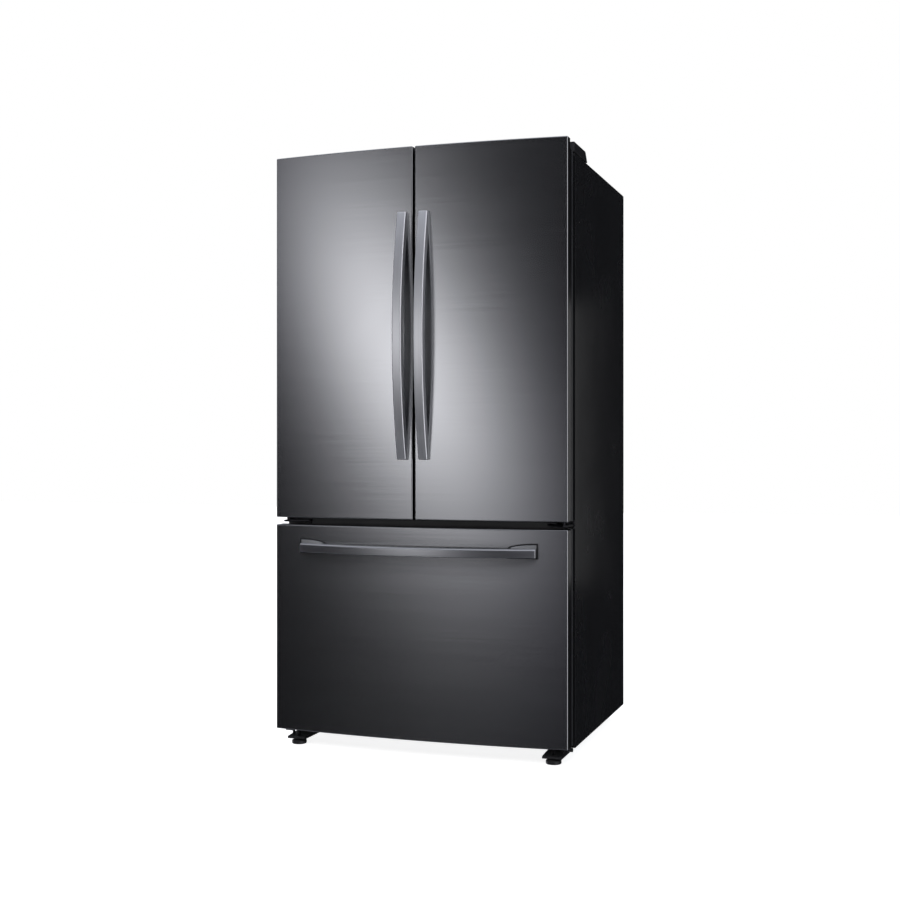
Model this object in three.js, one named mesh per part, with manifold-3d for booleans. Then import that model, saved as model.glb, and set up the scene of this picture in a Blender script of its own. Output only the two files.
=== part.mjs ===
// French door refrigerator: two bowed doors over one full-width freezer drawer.
// Millimetres, +Z up, the front faces -Y. The origin lies on the floor, under the middle of the whole.
import * as THREE from 'three';
import { mergeVertices } from 'three/addons/utils/BufferGeometryUtils.js';
import Module from 'manifold-3d';

const wasm = await Module();
wasm.setup();

// ---------------------------------------------------------------- driving dimensions

const WIDTH = 908;
const HEIGHT = 1778;
const DEPTH = 848; // rear face to the front of the handles
const GAP = 0.3; // between pieces that touch
const SHEET = 1.2; // steel sheet of the cabinet and its panels
const SKIN = 1; // steel sheet of the doors

const SIDE = WIDTH / 2;
const REAR = DEPTH / 2;
const CABINET = { bottom: 40, top: 1749, front: -259, lip: 20 };

// One shallow arc runs across both doors and the drawer.
const BOW = 25;
const DOOR = { corner: -344, wrap: -302, rear: -280, edge: 4, gap: 7, bottom: 691.5, top: HEIGHT };
const DRAWER = { bottom: 51, top: 670 };
const BOW_RADIUS = (SIDE * SIDE + BOW * BOW) / (2 * BOW);

const HINGE = { x: 432, y: -304, pin: 5, bore: 6, arm: 10, notch: 16 };
const GASKET = { hinge: 23, free: 6.5, width: 16, rear: CABINET.front - 0.5 };

const LINER = { wall: 2, side: 400, rear: 364 };
const FRIDGE = { bottom: 730, top: 1699 };
const FREEZER = { bottom: 100, top: 632, step: 390, stepRear: 130 };
const MACHINE = { top: 330, front: 190 };
const RAIL = { bottom: 636, top: 726, fold: 9 };

const HANDLE = { wide: 28, thick: 23, stand: 55, end: 14, pad: 60, inner: 19, low: 867, high: 1586 };
const DRAWER_HANDLE = { half: 366, low: 590, high: 614, padLow: 583, padHigh: 622, pad: 75 };

const SHELF = { half: 398, front: -125, rear: 338, high: 16, rim: 22, rebate: 12, glass: 4.4 };
const SHELF_LEVELS = { upper: 1470, lower: 1225, crisper: 950 };
const CRISPER = { inner: 10, outer: 388, front: -110, rear: 325, low: 734, high: 940, wall: 2.5 };

const DYKE = { inner: 50, outer: 388, wall: 30, rear: -205, low: 760, high: 1680 };
const BIN = { inner: 82, outer: 356, front: -152, wall: 2.5, high: 110 };
const BIN_LEVELS = { upper: 1380, lower: 985 };

const SLIDE = { low: 425, high: 455, front: -236, rear: 285, inner: 390 };
const FREEZER_BIN = { half: 378, front: -268, rear: 112, low: 108, high: 420, wall: 3 };
const BASKET = { half: 374, front: -200, rear: 235, low: 470, high: 600, wall: 3 };

const FLIP = { axisX: -28.5, axisY: -249, left: -44, right: -20, front: -257.5, rear: -184, low: 738, high: 1686 };

const FOOT = { x: 400, y: -296, radius: 22.5, stem: 5, high: 46 };
const ROLLER = { x: 400, y: 360, radius: 18, wide: 18, axle: 4, bore: 4.3 };
const FAN = { x: -82, y: 305, z: 150, radius: 64, hub: 16, blades: 5, shaft: 3 };

// ---------------------------------------------------------------- finishes

const finish = (color, roughness, metalness, extra = {}) => ({ color, roughness, metalness, ...extra });
const FINISHES = {
  doorSteel: finish(0x3a3b3e, 0.34, 1),
  handleSteel: finish(0x505154, 0.3, 1),
  cabinetPaint: finish(0x26272a, 0.5, 0.2),
  zinc: finish(0x9fa3a6, 0.45, 0.9),
  blackPaint: finish(0x161719, 0.5, 0.3),
  blackPlastic: finish(0x1b1c1e, 0.6, 0),
  frameGrey: finish(0x3c3e41, 0.55, 0),
  linerWhite: finish(0xeef0f1, 0.35, 0),
  gasketGrey: finish(0x2c2d2f, 0.8, 0),
  clear: finish(0xdfe8ec, 0.12, 0, { transparent: true, opacity: 0.4 }),
  glass: finish(0xd5e6e2, 0.05, 0, { transparent: true, opacity: 0.35 }),
  foam: finish(0xe3cf8f, 0.9, 0),
};

// ---------------------------------------------------------------- solids and their meshes

function solidOf(geometry) {
  const bare = geometry.clone();
  bare.deleteAttribute('normal');
  bare.deleteAttribute('uv');
  const merged = mergeVertices(bare, 1e-4);
  const vertProperties = new Float32Array(merged.attributes.position.array);
  const triVerts = new Uint32Array(merged.index.array);
  return new wasm.Manifold(new wasm.Mesh({ numProp: 3, vertProperties, triVerts }));
}

function box(low, high) {
  const size = high.map((v, i) => v - low[i]);
  const middle = high.map((v, i) => (v + low[i]) / 2);
  return solidOf(new THREE.BoxGeometry(...size).translate(...middle));
}

// A box between |x| = inner and |x| = outer on one side of the middle.
function sideBox(side, inner, outer, low, high) {
  const [x0, x1] = side > 0 ? [inner, outer] : [-outer, -inner];
  return box([x0, ...low], [x1, ...high]);
}

function prism(points, depth, xAxis, yAxis, zAxis, offset) {
  const shape = new THREE.Shape(points.map(([x, y]) => new THREE.Vector2(x, y)));
  const geometry = new THREE.ExtrudeGeometry(shape, { depth, bevelEnabled: false });
  geometry.applyMatrix4(new THREE.Matrix4().makeBasis(xAxis, yAxis, zAxis));
  return solidOf(geometry.translate(...offset));
}

const X = new THREE.Vector3(1, 0, 0);
const Y = new THREE.Vector3(0, 1, 0);
const Z = new THREE.Vector3(0, 0, 1);
const MINUS_Y = new THREE.Vector3(0, -1, 0);

// Outlines are [y, z] points for prismX, [x, z] for prismY and [x, y] for prismZ.
const prismX = (points, from, to) => prism(points, to - from, Y, Z, X, [from, 0, 0]);
const prismY = (points, from, to) => prism(points, to - from, X, Z, MINUS_Y, [0, to, 0]);
const prismZ = (points, from, to) => prism(points, to - from, X, Y, Z, [0, 0, from]);

const rectangle = (x0, y0, x1, y1) => [[x0, y0], [x1, y0], [x1, y1], [x0, y1]];
const mirrored = (points) => points.map(([x, y]) => [-x, y]);

function rodX(y, z, radius, from, to, sides = 16) {
  const geometry = new THREE.CylinderGeometry(radius, radius, to - from, sides);
  return solidOf(geometry.rotateZ(Math.PI / 2).translate((from + to) / 2, y, z));
}

function rodZ(x, y, radius, from, to, sides = 16) {
  const geometry = new THREE.CylinderGeometry(radius, radius, to - from, sides);
  return solidOf(geometry.rotateX(Math.PI / 2).translate(x, y, (from + to) / 2));
}

// A profile of [radius, z] points turned about Z.
function turned(profile, sides = 20) {
  const points = profile.map(([radius, z]) => new THREE.Vector2(radius, z));
  return solidOf(new THREE.LatheGeometry(points, sides).rotateX(Math.PI / 2));
}

const join = (solids) => solids.reduce((whole, next) => whole.add(next));
const cut = (solid, ...tools) => tools.reduce((whole, tool) => whole.subtract(tool), solid);

// An open-topped tray or bin between two corners.
function tray(low, high, wall, floor = wall) {
  const inside = box([low[0] + wall, low[1] + wall, low[2] + floor], [high[0] - wall, high[1] - wall, high[2] + 1]);
  return cut(box(low, high), inside);
}

function part(name, look, solid, position = [0, 0, 0]) {
  const { vertProperties, triVerts } = solid.getMesh();
  const geometry = new THREE.BufferGeometry();
  geometry.setAttribute('position', new THREE.BufferAttribute(new Float32Array(vertProperties), 3));
  geometry.setIndex(new THREE.BufferAttribute(new Uint32Array(triVerts), 1));
  const mesh = new THREE.Mesh(geometry.toNonIndexed(), new THREE.MeshStandardMaterial(FINISHES[look]));
  mesh.geometry.computeVertexNormals();
  mesh.name = name;
  mesh.position.set(...position);
  return mesh;
}

// A group whose own origin is the pivot that its pieces turn about.
function pivoted(pivot, meshes) {
  const group = new THREE.Group();
  group.position.set(...pivot);
  for (const mesh of meshes) {
    mesh.position.sub(group.position);
    group.add(mesh);
  }
  return group;
}

const SIDES = [['left', -1], ['right', 1]];

// ---------------------------------------------------------------- the bowed front

const bowY = (x) => DOOR.corner - BOW + BOW_RADIUS - Math.sqrt(BOW_RADIUS * BOW_RADIUS - x * x);

function bowPoints(from, to, steps, stand = () => 0) {
  const points = [];
  for (let i = 0; i <= steps; i++) {
    const x = from + ((to - from) * i) / steps;
    points.push([x, bowY(x) - stand(x)]);
  }
  return points;
}

// Quarter round between a door's side at x and its front; `out` is +1 where the side faces +X.
function edgeRound(x, out, inset) {
  const radius = DOOR.edge - inset;
  const centreX = x - out * DOOR.edge;
  const centreY = bowY(centreX) + DOOR.edge;
  const points = [];
  for (let i = 0; i <= 4; i++) {
    const turn = (i / 4) * (Math.PI / 2);
    points.push([centreX + out * radius * Math.cos(turn), centreY - radius * Math.sin(turn)]);
  }
  return points;
}

// The plan of a door from x0 to x1, drawn inwards by `inset` and open to `rear`.
function doorPlan(x0, x1, inset, rear) {
  const steps = Math.max(8, Math.round((x1 - x0) / 45));
  const start = x0 + DOOR.edge;
  const end = x1 - DOOR.edge;
  const front = bowPoints(start, end, steps, () => -inset).slice(1, -1);
  return [
    [x0 + inset, rear],
    ...edgeRound(x0, -1, inset),
    ...front,
    ...edgeRound(x1, 1, inset).reverse(),
    [x1 - inset, rear],
  ];
}

function doorSkin(x0, x1, low, high) {
  const outside = prismZ(doorPlan(x0, x1, 0, DOOR.wrap), low, high);
  const inside = prismZ(doorPlan(x0, x1, SKIN, DOOR.wrap + 1), low + SKIN, high - SKIN);
  return outside.subtract(inside);
}

function doorCore(x0, x1, low, high) {
  const inset = SKIN + GAP;
  return prismZ(doorPlan(x0, x1, inset, DOOR.rear), low + inset, high - inset);
}

function gasketRing(x0, x1, low, high) {
  const front = DOOR.rear + GAP;
  const { width, rear } = GASKET;
  const outside = box([x0, front, low], [x1, rear, high]);
  const inside = box([x0 + width, front - 1, low + width], [x1 - width, rear + 1, high - width]);
  return outside.subtract(inside);
}

// ---------------------------------------------------------------- cabinet

// Side walls and roof seen from the front, open at the bottom, with rounded top corners.
function archOutline(inset, bottom) {
  const radius = 6 - inset;
  const half = SIDE - inset;
  const top = CABINET.top - inset;
  const points = [[-half, bottom]];
  for (const [cx, start] of [[-half + radius, Math.PI], [half - radius, Math.PI / 2]]) {
    for (let i = 0; i <= 3; i++) {
      const turn = start - (i / 3) * (Math.PI / 2);
      points.push([cx + radius * Math.cos(turn), top - radius + radius * Math.sin(turn)]);
    }
  }
  points.push([half, bottom]);
  return points;
}

function cabinetShell() {
  const { front, bottom, top, lip } = CABINET;
  const outside = prismY(archOutline(0, bottom), front, REAR);
  const inside = prismY(archOutline(SHEET, bottom - 1), front + SHEET, REAR + 1);
  const opening = box([-SIDE + lip, front - 1, bottom - 1], [SIDE - lip, front + 2 * SHEET, top - lip]);
  return part('cabinet_shell', 'cabinetPaint', cut(outside, inside, opening));
}

function cavity(low, high, rear, grow) {
  return box([-LINER.side - grow, CABINET.front - 2, low - grow], [LINER.side + grow, rear + grow, high + grow]);
}

function freezerCavity(grow) {
  const lower = cavity(FREEZER.bottom, FREEZER.step + 2, FREEZER.stepRear, grow);
  return lower.add(cavity(FREEZER.step, FREEZER.top, LINER.rear, grow));
}

function cabinetFoam() {
  const clear = LINER.wall + GAP;
  const inset = SHEET + GAP;
  const block = prismY(archOutline(inset, CABINET.bottom + 2.5), CABINET.front + LINER.wall + GAP, REAR - 2.8);
  const machine = box([-SIDE, MACHINE.front, 0], [SIDE, REAR, MACHINE.top]);
  const railPocket = box(
    [-SIDE + CABINET.lip, CABINET.front, RAIL.bottom - GAP],
    [SIDE - CABINET.lip, CABINET.front + RAIL.fold + GAP, RAIL.top + GAP],
  );
  const fridge = cavity(FRIDGE.bottom, FRIDGE.top, LINER.rear, clear);
  return part('cabinet_foam', 'foam', cut(block, fridge, freezerCavity(clear), machine, railPocket));
}

// The flat rim of a liner, which lies in the cabinet's front face.
function linerRim(low, high) {
  const half = SIDE - CABINET.lip - GAP;
  return box([-half, CABINET.front, low], [half, CABINET.front + LINER.wall, high]);
}

function ledges(levels, rear, high) {
  const solids = [];
  for (const [, side] of SIDES) {
    for (const level of levels) {
      const front = SHELF.front + 10;
      solids.push(sideBox(side, LINER.side - 8, LINER.side + 1, [front, level - high], [rear, level]));
    }
  }
  return join(solids);
}

function fridgeLiner() {
  const { bottom, top } = FRIDGE;
  const shell = box(
    [-LINER.side - LINER.wall, CABINET.front, bottom - LINER.wall],
    [LINER.side + LINER.wall, LINER.rear + LINER.wall, top + LINER.wall],
  );
  const rim = linerRim(RAIL.top + GAP, CABINET.top - CABINET.lip - GAP);
  const hollow = cavity(bottom, top, LINER.rear, 0);
  const levels = Object.values(SHELF_LEVELS);
  return part('fridge_liner', 'linerWhite', cut(shell.add(rim), hollow).add(ledges(levels, 330, 8)));
}

function freezerLiner() {
  const grown = freezerCavity(LINER.wall).subtract(box([-SIDE, -400, 0], [SIDE, CABINET.front, 900]));
  const rim = linerRim(FREEZER.bottom - 28, RAIL.bottom - GAP);
  const guides = [];
  for (const [, side] of SIDES) {
    guides.push(sideBox(side, LINER.side - 10, LINER.side + 1, [SLIDE.front, 580], [290, 590]));
  }
  return part('freezer_liner', 'linerWhite', cut(grown.add(rim), freezerCavity(0)).add(join(guides)));
}

function mullionRail() {
  const half = SIDE - CABINET.lip - 2 * GAP;
  const { bottom, top, fold } = RAIL;
  const front = CABINET.front;
  const face = box([-half, front, bottom], [half, front + 1.5, top]);
  const low = box([-half, front, bottom], [half, front + fold, bottom + 1.5]);
  const high = box([-half, front, top - 1.5], [half, front + fold, top]);
  return part('mullion_rail', 'blackPaint', join([face, low, high]));
}

function backPanel() {
  const panel = prismY(archOutline(SHEET + 2 * GAP, MACHINE.top + GAP), REAR - 2.5, REAR - 1);
  return part('back_panel', 'zinc', panel);
}

function compressorCover() {
  const half = SIDE - SHEET - 2 * GAP;
  const panel = box([-half, REAR - 2.5, CABINET.bottom + 2.5], [half, REAR - 1, MACHINE.top - GAP]);
  const slots = [];
  for (const row of [110, 240]) {
    for (let i = 0; i < 9; i++) {
      const x = -360 + i * 90;
      slots.push(box([x - 30, REAR - 4, row - 22], [x + 30, REAR, row - 14]));
      slots.push(box([x - 30, REAR - 4, row + 14], [x + 30, REAR, row + 22]));
    }
  }
  return part('compressor_cover', 'blackPaint', cut(panel, ...slots));
}

function rollerCheeks(side) {
  const solids = [];
  for (const inner of [ROLLER.x - 12, ROLLER.x + 10]) {
    const low = [ROLLER.y - 15, 8];
    solids.push(sideBox(side, inner, inner + 2, low, [ROLLER.y + 15, CABINET.bottom + 1]));
  }
  const [from, to] = [side * ROLLER.x - 12, side * ROLLER.x + 12];
  solids.push(rodX(ROLLER.y, ROLLER.radius, ROLLER.axle, from, to, 12));
  return join(solids);
}

function basePlate() {
  const { bottom, front, lip } = CABINET;
  const half = SIDE - SHEET - 2 * GAP;
  const rimHalf = SIDE - lip - GAP;
  const floor = box([-half, front + SHEET + GAP, bottom], [half, REAR - 3, bottom + 2]);
  const apron = box([-rimHalf, front, bottom], [rimHalf, front + 1.6, FREEZER.bottom - 28 - GAP]);
  return part('base_plate', 'zinc', join([floor, apron, rollerCheeks(-1), rollerCheeks(1)]));
}

// ---------------------------------------------------------------- machine compartment

function compressor() {
  const can = turned([[0, 16], [62, 20], [80, 46], [82, 110], [70, 150], [36, 172], [0, 178]], 20);
  const sole = box([-100, -62, 12], [100, 62, 18]);
  const solids = [can, sole, box([60, -34, 60], [100, 34, 130])];
  for (const x of [-84, 84]) {
    for (const y of [-46, 46]) {
      solids.push(rodZ(x, y, 11, 0, 16, 10));
    }
  }
  return part('compressor', 'blackPaint', join(solids), [250, 305, CABINET.bottom + 2 + GAP]);
}

// A flat tube folded back and forth in height.
function condenserCoil() {
  const [left, right, low, pitch, tube] = [-428, -148, 78, 30, 7];
  const solids = [];
  for (let i = 0; i < 8; i++) {
    const z = low + i * pitch;
    solids.push(box([left, 240, z], [right, 390, z + tube]));
    if (i > 0) {
      const x = i % 2 ? right - tube : left;
      solids.push(box([x, 240, z - pitch], [x + tube, 390, z + tube]));
    }
  }
  return part('condenser_coil', 'blackPaint', join(solids));
}

function fanShroud() {
  const { y, z, radius, shaft } = FAN;
  const plate = box([-72, y - 100, CABINET.bottom + 2 + GAP], [-66, y + 100, z + 95]);
  const mouth = rodX(y, z, radius + 6, -80, -60, 32);
  const bar = box([-66.5, y - 85, z - 7], [-58, y + 85, z + 7]);
  const motor = rodX(y, z, 24, -66, -26, 16);
  return part('fan_shroud', 'blackPlastic', join([cut(plate, mouth), bar, motor, rodX(y, z, shaft, -80, -60, 10)]));
}

function condenserFan() {
  const { radius, hub, blades, shaft, x, y, z } = FAN;
  const solids = [rodX(0, 0, hub, -8, 8, 16)];
  for (let i = 0; i < blades; i++) {
    const blade = new THREE.BoxGeometry(2.4, 34, radius - hub + 6);
    blade.translate(0, 0, (radius + hub) / 2 - 3).rotateZ(0.55);
    solids.push(solidOf(blade.rotateX((i * 2 * Math.PI) / blades)));
  }
  const bore = rodX(0, 0, shaft + 0.5, -2, 9, 10);
  return pivoted([x, y, z], [part('condenser_fan', 'blackPlastic', cut(join(solids), bore), [x, y, z])]);
}

function drainPan() {
  const low = CABINET.bottom + 2 + GAP;
  return part('drain_pan', 'blackPlastic', tray([-440, 205, low], [-110, 412, low + 20], 2.5));
}

// ---------------------------------------------------------------- fridge compartment

function slots(x0, x1, y0, y1, from, count, pitch, high) {
  const solids = [];
  for (let i = 0; i < count; i++) {
    const z = from + i * pitch;
    solids.push(box([x0, y0, z], [x1, y1, z + high]));
  }
  return solids;
}

function airDuct() {
  const block = box([-95, 346, FRIDGE.bottom + 260], [95, LINER.rear - GAP, FRIDGE.top - 5]);
  return part('air_duct', 'linerWhite', cut(block, ...slots(-60, 60, 340, 356, 1100, 6, 95, 10)));
}

function controlHousing() {
  const { top } = FRIDGE;
  const outline = [[-90, top - GAP], [-80, top - 26], [130, top - 26], [150, top - GAP]];
  const body = prismX(outline, -190, 190);
  const lens = box([-150, -40, top - 30], [150, 90, top - 18]);
  return part('control_housing', 'linerWhite', cut(body, lens));
}

function shelf(name, level, extra = []) {
  const { half, front, rear, high, rim, rebate, glass } = SHELF;
  const low = level + GAP;
  const seat = low + high - glass - 2 * GAP;
  const blank = box([-half, front, low], [half, rear, low + high]);
  const opening = box([-half + rim, front + rim, low - 1], [half - rim, rear - rim, low + high + 1]);
  const pocket = box([-half + rebate, front + rebate, seat], [half - rebate, rear - rebate, low + high + 1]);
  const pane = rebate + GAP;
  const sheet = box(
    [-half + pane, front + pane, seat + GAP],
    [half - pane, rear - pane, seat + GAP + glass],
  );
  return [
    part(`${name}_frame`, 'linerWhite', join([cut(blank, opening, pocket), ...extra])),
    part(`${name}_glass`, 'glass', sheet),
  ];
}

function crisperPost() {
  const front = box([-4, SHELF.front + 12, FRIDGE.bottom + 1], [4, SHELF.front + 30, SHELF_LEVELS.crisper + 2]);
  const rail = box([-4, SHELF.front + 12, SHELF_LEVELS.crisper - 30], [4, SHELF.rear - 6, SHELF_LEVELS.crisper + 2]);
  return [front, rail];
}

function crisper(name, side) {
  const { inner, outer, front, rear, low, high, wall } = CRISPER;
  const [x0, x1] = side > 0 ? [inner, outer] : [-outer, -inner];
  const lip = box([x0, front - 8, high - 20], [x1, front + wall, high]);
  const grip = box([x0 + 2, front - 5, high - 21], [x1 - 2, front - wall, high - 4]);
  const body = tray([x0, front, low], [x1, rear, high], wall);
  return part(name, 'clear', cut(body.add(lip), grip));
}

// ---------------------------------------------------------------- freezer compartment

function evaporatorCover() {
  const half = LINER.side - GAP;
  const panel = box([-half, 296, FREEZER.step + GAP], [half, 299, FREEZER.top - GAP]);
  const vents = slots(-300, 300, 290, 302, 560, 3, 18, 8);
  return part('evaporator_cover', 'linerWhite', cut(panel, ...vents));
}

function slideRail(side, name) {
  const { low, high, front, rear, inner } = SLIDE;
  const outer = LINER.side - GAP;
  const channel = sideBox(side, inner, outer, [front, low], [rear, high]);
  const groove = sideBox(side, inner - 1, outer - 3, [front - 1, low + 4], [rear + 1, high - 4]);
  return part(name, 'zinc', cut(channel, groove));
}

function drawerRail(side, name) {
  const { low, high, rear, inner } = SLIDE;
  return part(name, 'zinc', join([
    sideBox(side, inner - 6, inner - 2, [DOOR.rear + GAP, low + 5], [rear - 5, high - 5]),
    sideBox(side, inner - 3, LINER.side - 4, [SLIDE.front - 30, low + 8], [rear - 5, high - 8]),
  ]));
}

function freezerBin() {
  const { half, front, rear, low, high, wall } = FREEZER_BIN;
  const body = tray([-half, front, low], [half, rear, high], wall);
  const rims = SIDES.map(([, side]) => sideBox(side, half - 1, half + 5.5, [front, high - 6], [rear, high]));
  return part('freezer_bin', 'linerWhite', join([body, ...rims]));
}

function upperBasket() {
  const { half, front, rear, low, high, wall } = BASKET;
  const body = tray([-half, front, low], [half, rear, high], wall);
  const windows = [];
  for (let i = 0; i < 6; i++) {
    const x = -310 + i * 124;
    windows.push(box([x - 48, front - 5, low + 25], [x + 48, rear + 5, high - 25]));
  }
  for (let i = 0; i < 4; i++) {
    const y = front + 54 + i * 109;
    windows.push(box([-half - 5, y - 42, low + 25], [half + 5, y + 42, high - 25]));
  }
  const rims = SIDES.map(([, side]) => sideBox(side, half - 1, LINER.side - 2, [front, 590 + GAP], [rear, 595]));
  return part('upper_basket', 'linerWhite', join([cut(body, ...windows), ...rims]));
}

// ---------------------------------------------------------------- doors

// Space for the top hinge, open to the door's rear, outer side and top.
function hingeNotch(side) {
  const low = [HINGE.y - HINGE.notch, DOOR.top - 32];
  return sideBox(side, HINGE.x - 53, SIDE + 1, low, [DOOR.rear + 1, DOOR.top + 1]);
}

function pinHoles(side) {
  const x = side * HINGE.x;
  const upper = rodZ(x, HINGE.y, HINGE.bore, DOOR.top - 58, DOOR.top, 16);
  return upper.add(rodZ(x, HINGE.y, HINGE.bore, DOOR.bottom - 1, DOOR.bottom + 18, 16));
}

function dyke(side) {
  const { inner, outer, wall, rear, low, high } = DYKE;
  const ring = sideBox(side, inner, outer, [DOOR.rear - 1, low], [rear, high]);
  const pocket = sideBox(side, inner + wall, outer - wall, [DOOR.rear - 2, low + wall], [rear + 1, high - wall]);
  return ring.subtract(pocket);
}

// Two ears on the left door that carry the pins of the flip mullion.
function flipEars() {
  const ears = [];
  for (const z of [FLIP.low - 7, FLIP.high + 1]) {
    const stem = box([FLIP.left, DOOR.rear - 1, z], [FLIP.axisX - 1, FLIP.axisY + 8, z + 6]);
    const eye = box([FLIP.left, FLIP.front, z], [FLIP.right, FLIP.axisY + 8, z + 6]);
    ears.push(stem.add(eye).subtract(rodZ(FLIP.axisX, FLIP.axisY, 3.5, z - 1, z + 7, 12)));
  }
  return ears;
}

function flipMullion() {
  const { left, right, front, rear, low, high, axisX, axisY } = FLIP;
  const chamfer = 5;
  const outline = [
    [left + chamfer, front], [right - chamfer, front], [right, front + chamfer], [right, rear - chamfer],
    [right - chamfer, rear], [left + chamfer, rear], [left, rear - chamfer], [left, front + chamfer],
  ];
  const bar = prismZ(outline, low, high);
  const pin = rodZ(axisX, axisY, 3, low - 7, high + 7, 12);
  return pivoted([axisX, axisY, 0], [part('flip_mullion', 'frameGrey', bar.add(pin))]);
}

// The side view of a bowed bar: it stands off most in the middle and lies on its pads at the ends.
function barStand(along, half, stand) {
  const reach = half - HANDLE.pad;
  const sag = stand - HANDLE.end;
  const radius = (half * half + sag * sag) / (2 * sag);
  const hollow = stand - HANDLE.thick;
  const hollowRadius = (reach * reach + hollow * hollow) / (2 * hollow);
  const front = stand - (radius - Math.sqrt(radius * radius - along * along));
  const inside = Math.abs(along) < reach;
  const back = inside ? hollow - (hollowRadius - Math.sqrt(hollowRadius * hollowRadius - along * along)) : 0;
  return { front, back: Math.max(back, GAP) };
}

function barSpan(half, steps) {
  const spots = [];
  for (let i = 0; i <= steps; i++) {
    spots.push(-half + (2 * half * i) / steps);
  }
  return spots;
}

function doorHandle(name, side) {
  const half = (HANDLE.high - HANDLE.low) / 2;
  const middle = (HANDLE.high + HANDLE.low) / 2;
  const inner = HANDLE.inner;
  const seat = bowY(inner);
  const stand = seat - -REAR;
  const spots = barSpan(half, 24);
  const front = spots.map((along) => [seat - barStand(along, half, stand).front, middle + along]);
  const back = spots.map((along) => [seat - barStand(along, half, stand).back, middle + along]);
  const [x0, x1] = side > 0 ? [inner, inner + HANDLE.wide] : [-inner - HANDLE.wide, -inner];
  return part(name, 'handleSteel', prismX([...front, ...back.reverse()], x0, x1));
}

function drawerHandle() {
  const { half, low, high, padLow, padHigh, pad } = DRAWER_HANDLE;
  const stand = bowY(0) - -REAR;
  const spots = barSpan(half, 26);
  const front = spots.map((x) => [x, bowY(x) - barStand(x, half, stand).front]);
  const back = spots.map((x) => [x, bowY(x) - barStand(x, half, stand).back]);
  const solids = [prismZ([...front, ...back.reverse()], low, high)];
  for (const side of [-1, 1]) {
    const [x0, x1] = side > 0 ? [half - pad, half] : [-half, pad - half];
    const outer = bowPoints(x0, x1, 4, () => 6);
    const inner = bowPoints(x0, x1, 4, () => GAP);
    solids.push(prismZ([...outer, ...inner.reverse()], padLow, padHigh));
  }
  return part('drawer_handle', 'handleSteel', join(solids));
}

function doorBin(name, side, level) {
  const { inner, outer, front, wall, high } = BIN;
  const [x0, x1] = side > 0 ? [inner, outer] : [-outer, -inner];
  return part(name, 'clear', tray([x0, DOOR.rear + GAP, level], [x1, front, level + high], wall));
}

function doorAssembly(name, side) {
  const [x0, x1] = side > 0 ? [DOOR.gap / 2, SIDE] : [-SIDE, -DOOR.gap / 2];
  const skin = cut(doorSkin(x0, x1, DOOR.bottom, DOOR.top), hingeNotch(side), pinHoles(side));
  const core = cut(doorCore(x0, x1, DOOR.bottom, DOOR.top), hingeNotch(side), pinHoles(side));
  const extras = side < 0 ? [dyke(side), ...flipEars()] : [dyke(side)];
  const [near, far] = [DOOR.gap / 2 + GASKET.free, SIDE - GASKET.hinge];
  const [g0, g1] = side > 0 ? [near, far] : [-far, -near];
  const bins = Object.entries(BIN_LEVELS).map(([key, z]) => doorBin(`${name}_door_bin_${key}`, side, z));
  return pivoted([side * HINGE.x, HINGE.y, 0], [
    part(`${name}_door_skin`, 'doorSteel', skin),
    part(`${name}_door_liner`, 'frameGrey', join([core, ...extras])),
    part(`${name}_door_gasket`, 'gasketGrey', gasketRing(g0, g1, DOOR.bottom + 10.5, CABINET.top - 9)),
    doorHandle(`${name}_door_handle`, side),
    ...bins,
  ]);
}

function drawerAssembly() {
  const { bottom, top } = DRAWER;
  const raised = box([-372, DOOR.rear - 1, 118], [372, DOOR.rear + 8, 415]);
  const half = SIDE - GASKET.hinge;
  return pivoted([0, DOOR.rear, 0], [
    part('drawer_skin', 'doorSteel', doorSkin(-SIDE, SIDE, bottom, top)),
    part('drawer_liner', 'frameGrey', doorCore(-SIDE, SIDE, bottom, top).add(raised)),
    part('drawer_gasket', 'gasketGrey', gasketRing(-half, half, bottom + 23, top - 8)),
    drawerHandle(),
    freezerBin(),
    drawerRail(-1, 'drawer_rail_left'),
    drawerRail(1, 'drawer_rail_right'),
  ]);
}

// ---------------------------------------------------------------- hinges and their covers

function topHinge(name, side) {
  const { x, y, arm, pin } = HINGE;
  const low = CABINET.top + GAP;
  const high = low + 5;
  const reach = [[x + arm * 0.92, y + 4], [x - 11, -250.7], [x - 31, -259.3], [x - arm * 0.92, y - 4]];
  const plate = rectangle(x - 48, -256, x + 12, -150);
  const outline = (points) => prismZ(side > 0 ? points : mirrored(points).reverse(), low, high);
  return part(name, 'zinc', join([
    outline(reach),
    outline(plate),
    rodZ(side * x, y, arm, low, high, 16),
    rodZ(side * x, y, pin, DOOR.top - 54, high, 12),
  ]));
}

function hingeCover(name, side) {
  const [inner, wall] = [371, 2];
  const low = CABINET.top + GAP;
  const [front, rear, top] = [-274, -105, HEIGHT];
  const hull = (inset) => [
    [front + inset, low - 1], [front + inset, top - 4], [front + 4 + inset, top - inset],
    [rear - 27, top - inset], [rear - 22 - inset, top - 3], [rear - inset, low - 1],
  ];
  const span = (inset) => (side > 0 ? [inner + inset, SIDE - inset] : [-SIDE + inset, -inner - inset]);
  // The front outer corner is cut back to let the open door's edge pass.
  const relief = (shift) => {
    const points = [[438 - shift, front - 5], [438 - shift, front + shift], [SIDE + 1, front + 6 + shift], [SIDE + 1, front - 5]];
    return prismZ(side > 0 ? points : mirrored(points).reverse(), low - 2, top + 2);
  };
  const outside = cut(prismX(hull(0), ...span(0)), relief(0));
  const inside = cut(prismX(hull(wall), ...span(wall)), relief(wall));
  const below = box([-SIDE - 1, front - 1, low - 5], [SIDE + 1, rear + 1, low]);
  const mouth = sideBox(side, 392, 444, [front - 2, low - 1], [front + 12, low + 8]);
  return part(name, 'blackPlastic', cut(outside, inside, below, mouth));
}

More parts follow.
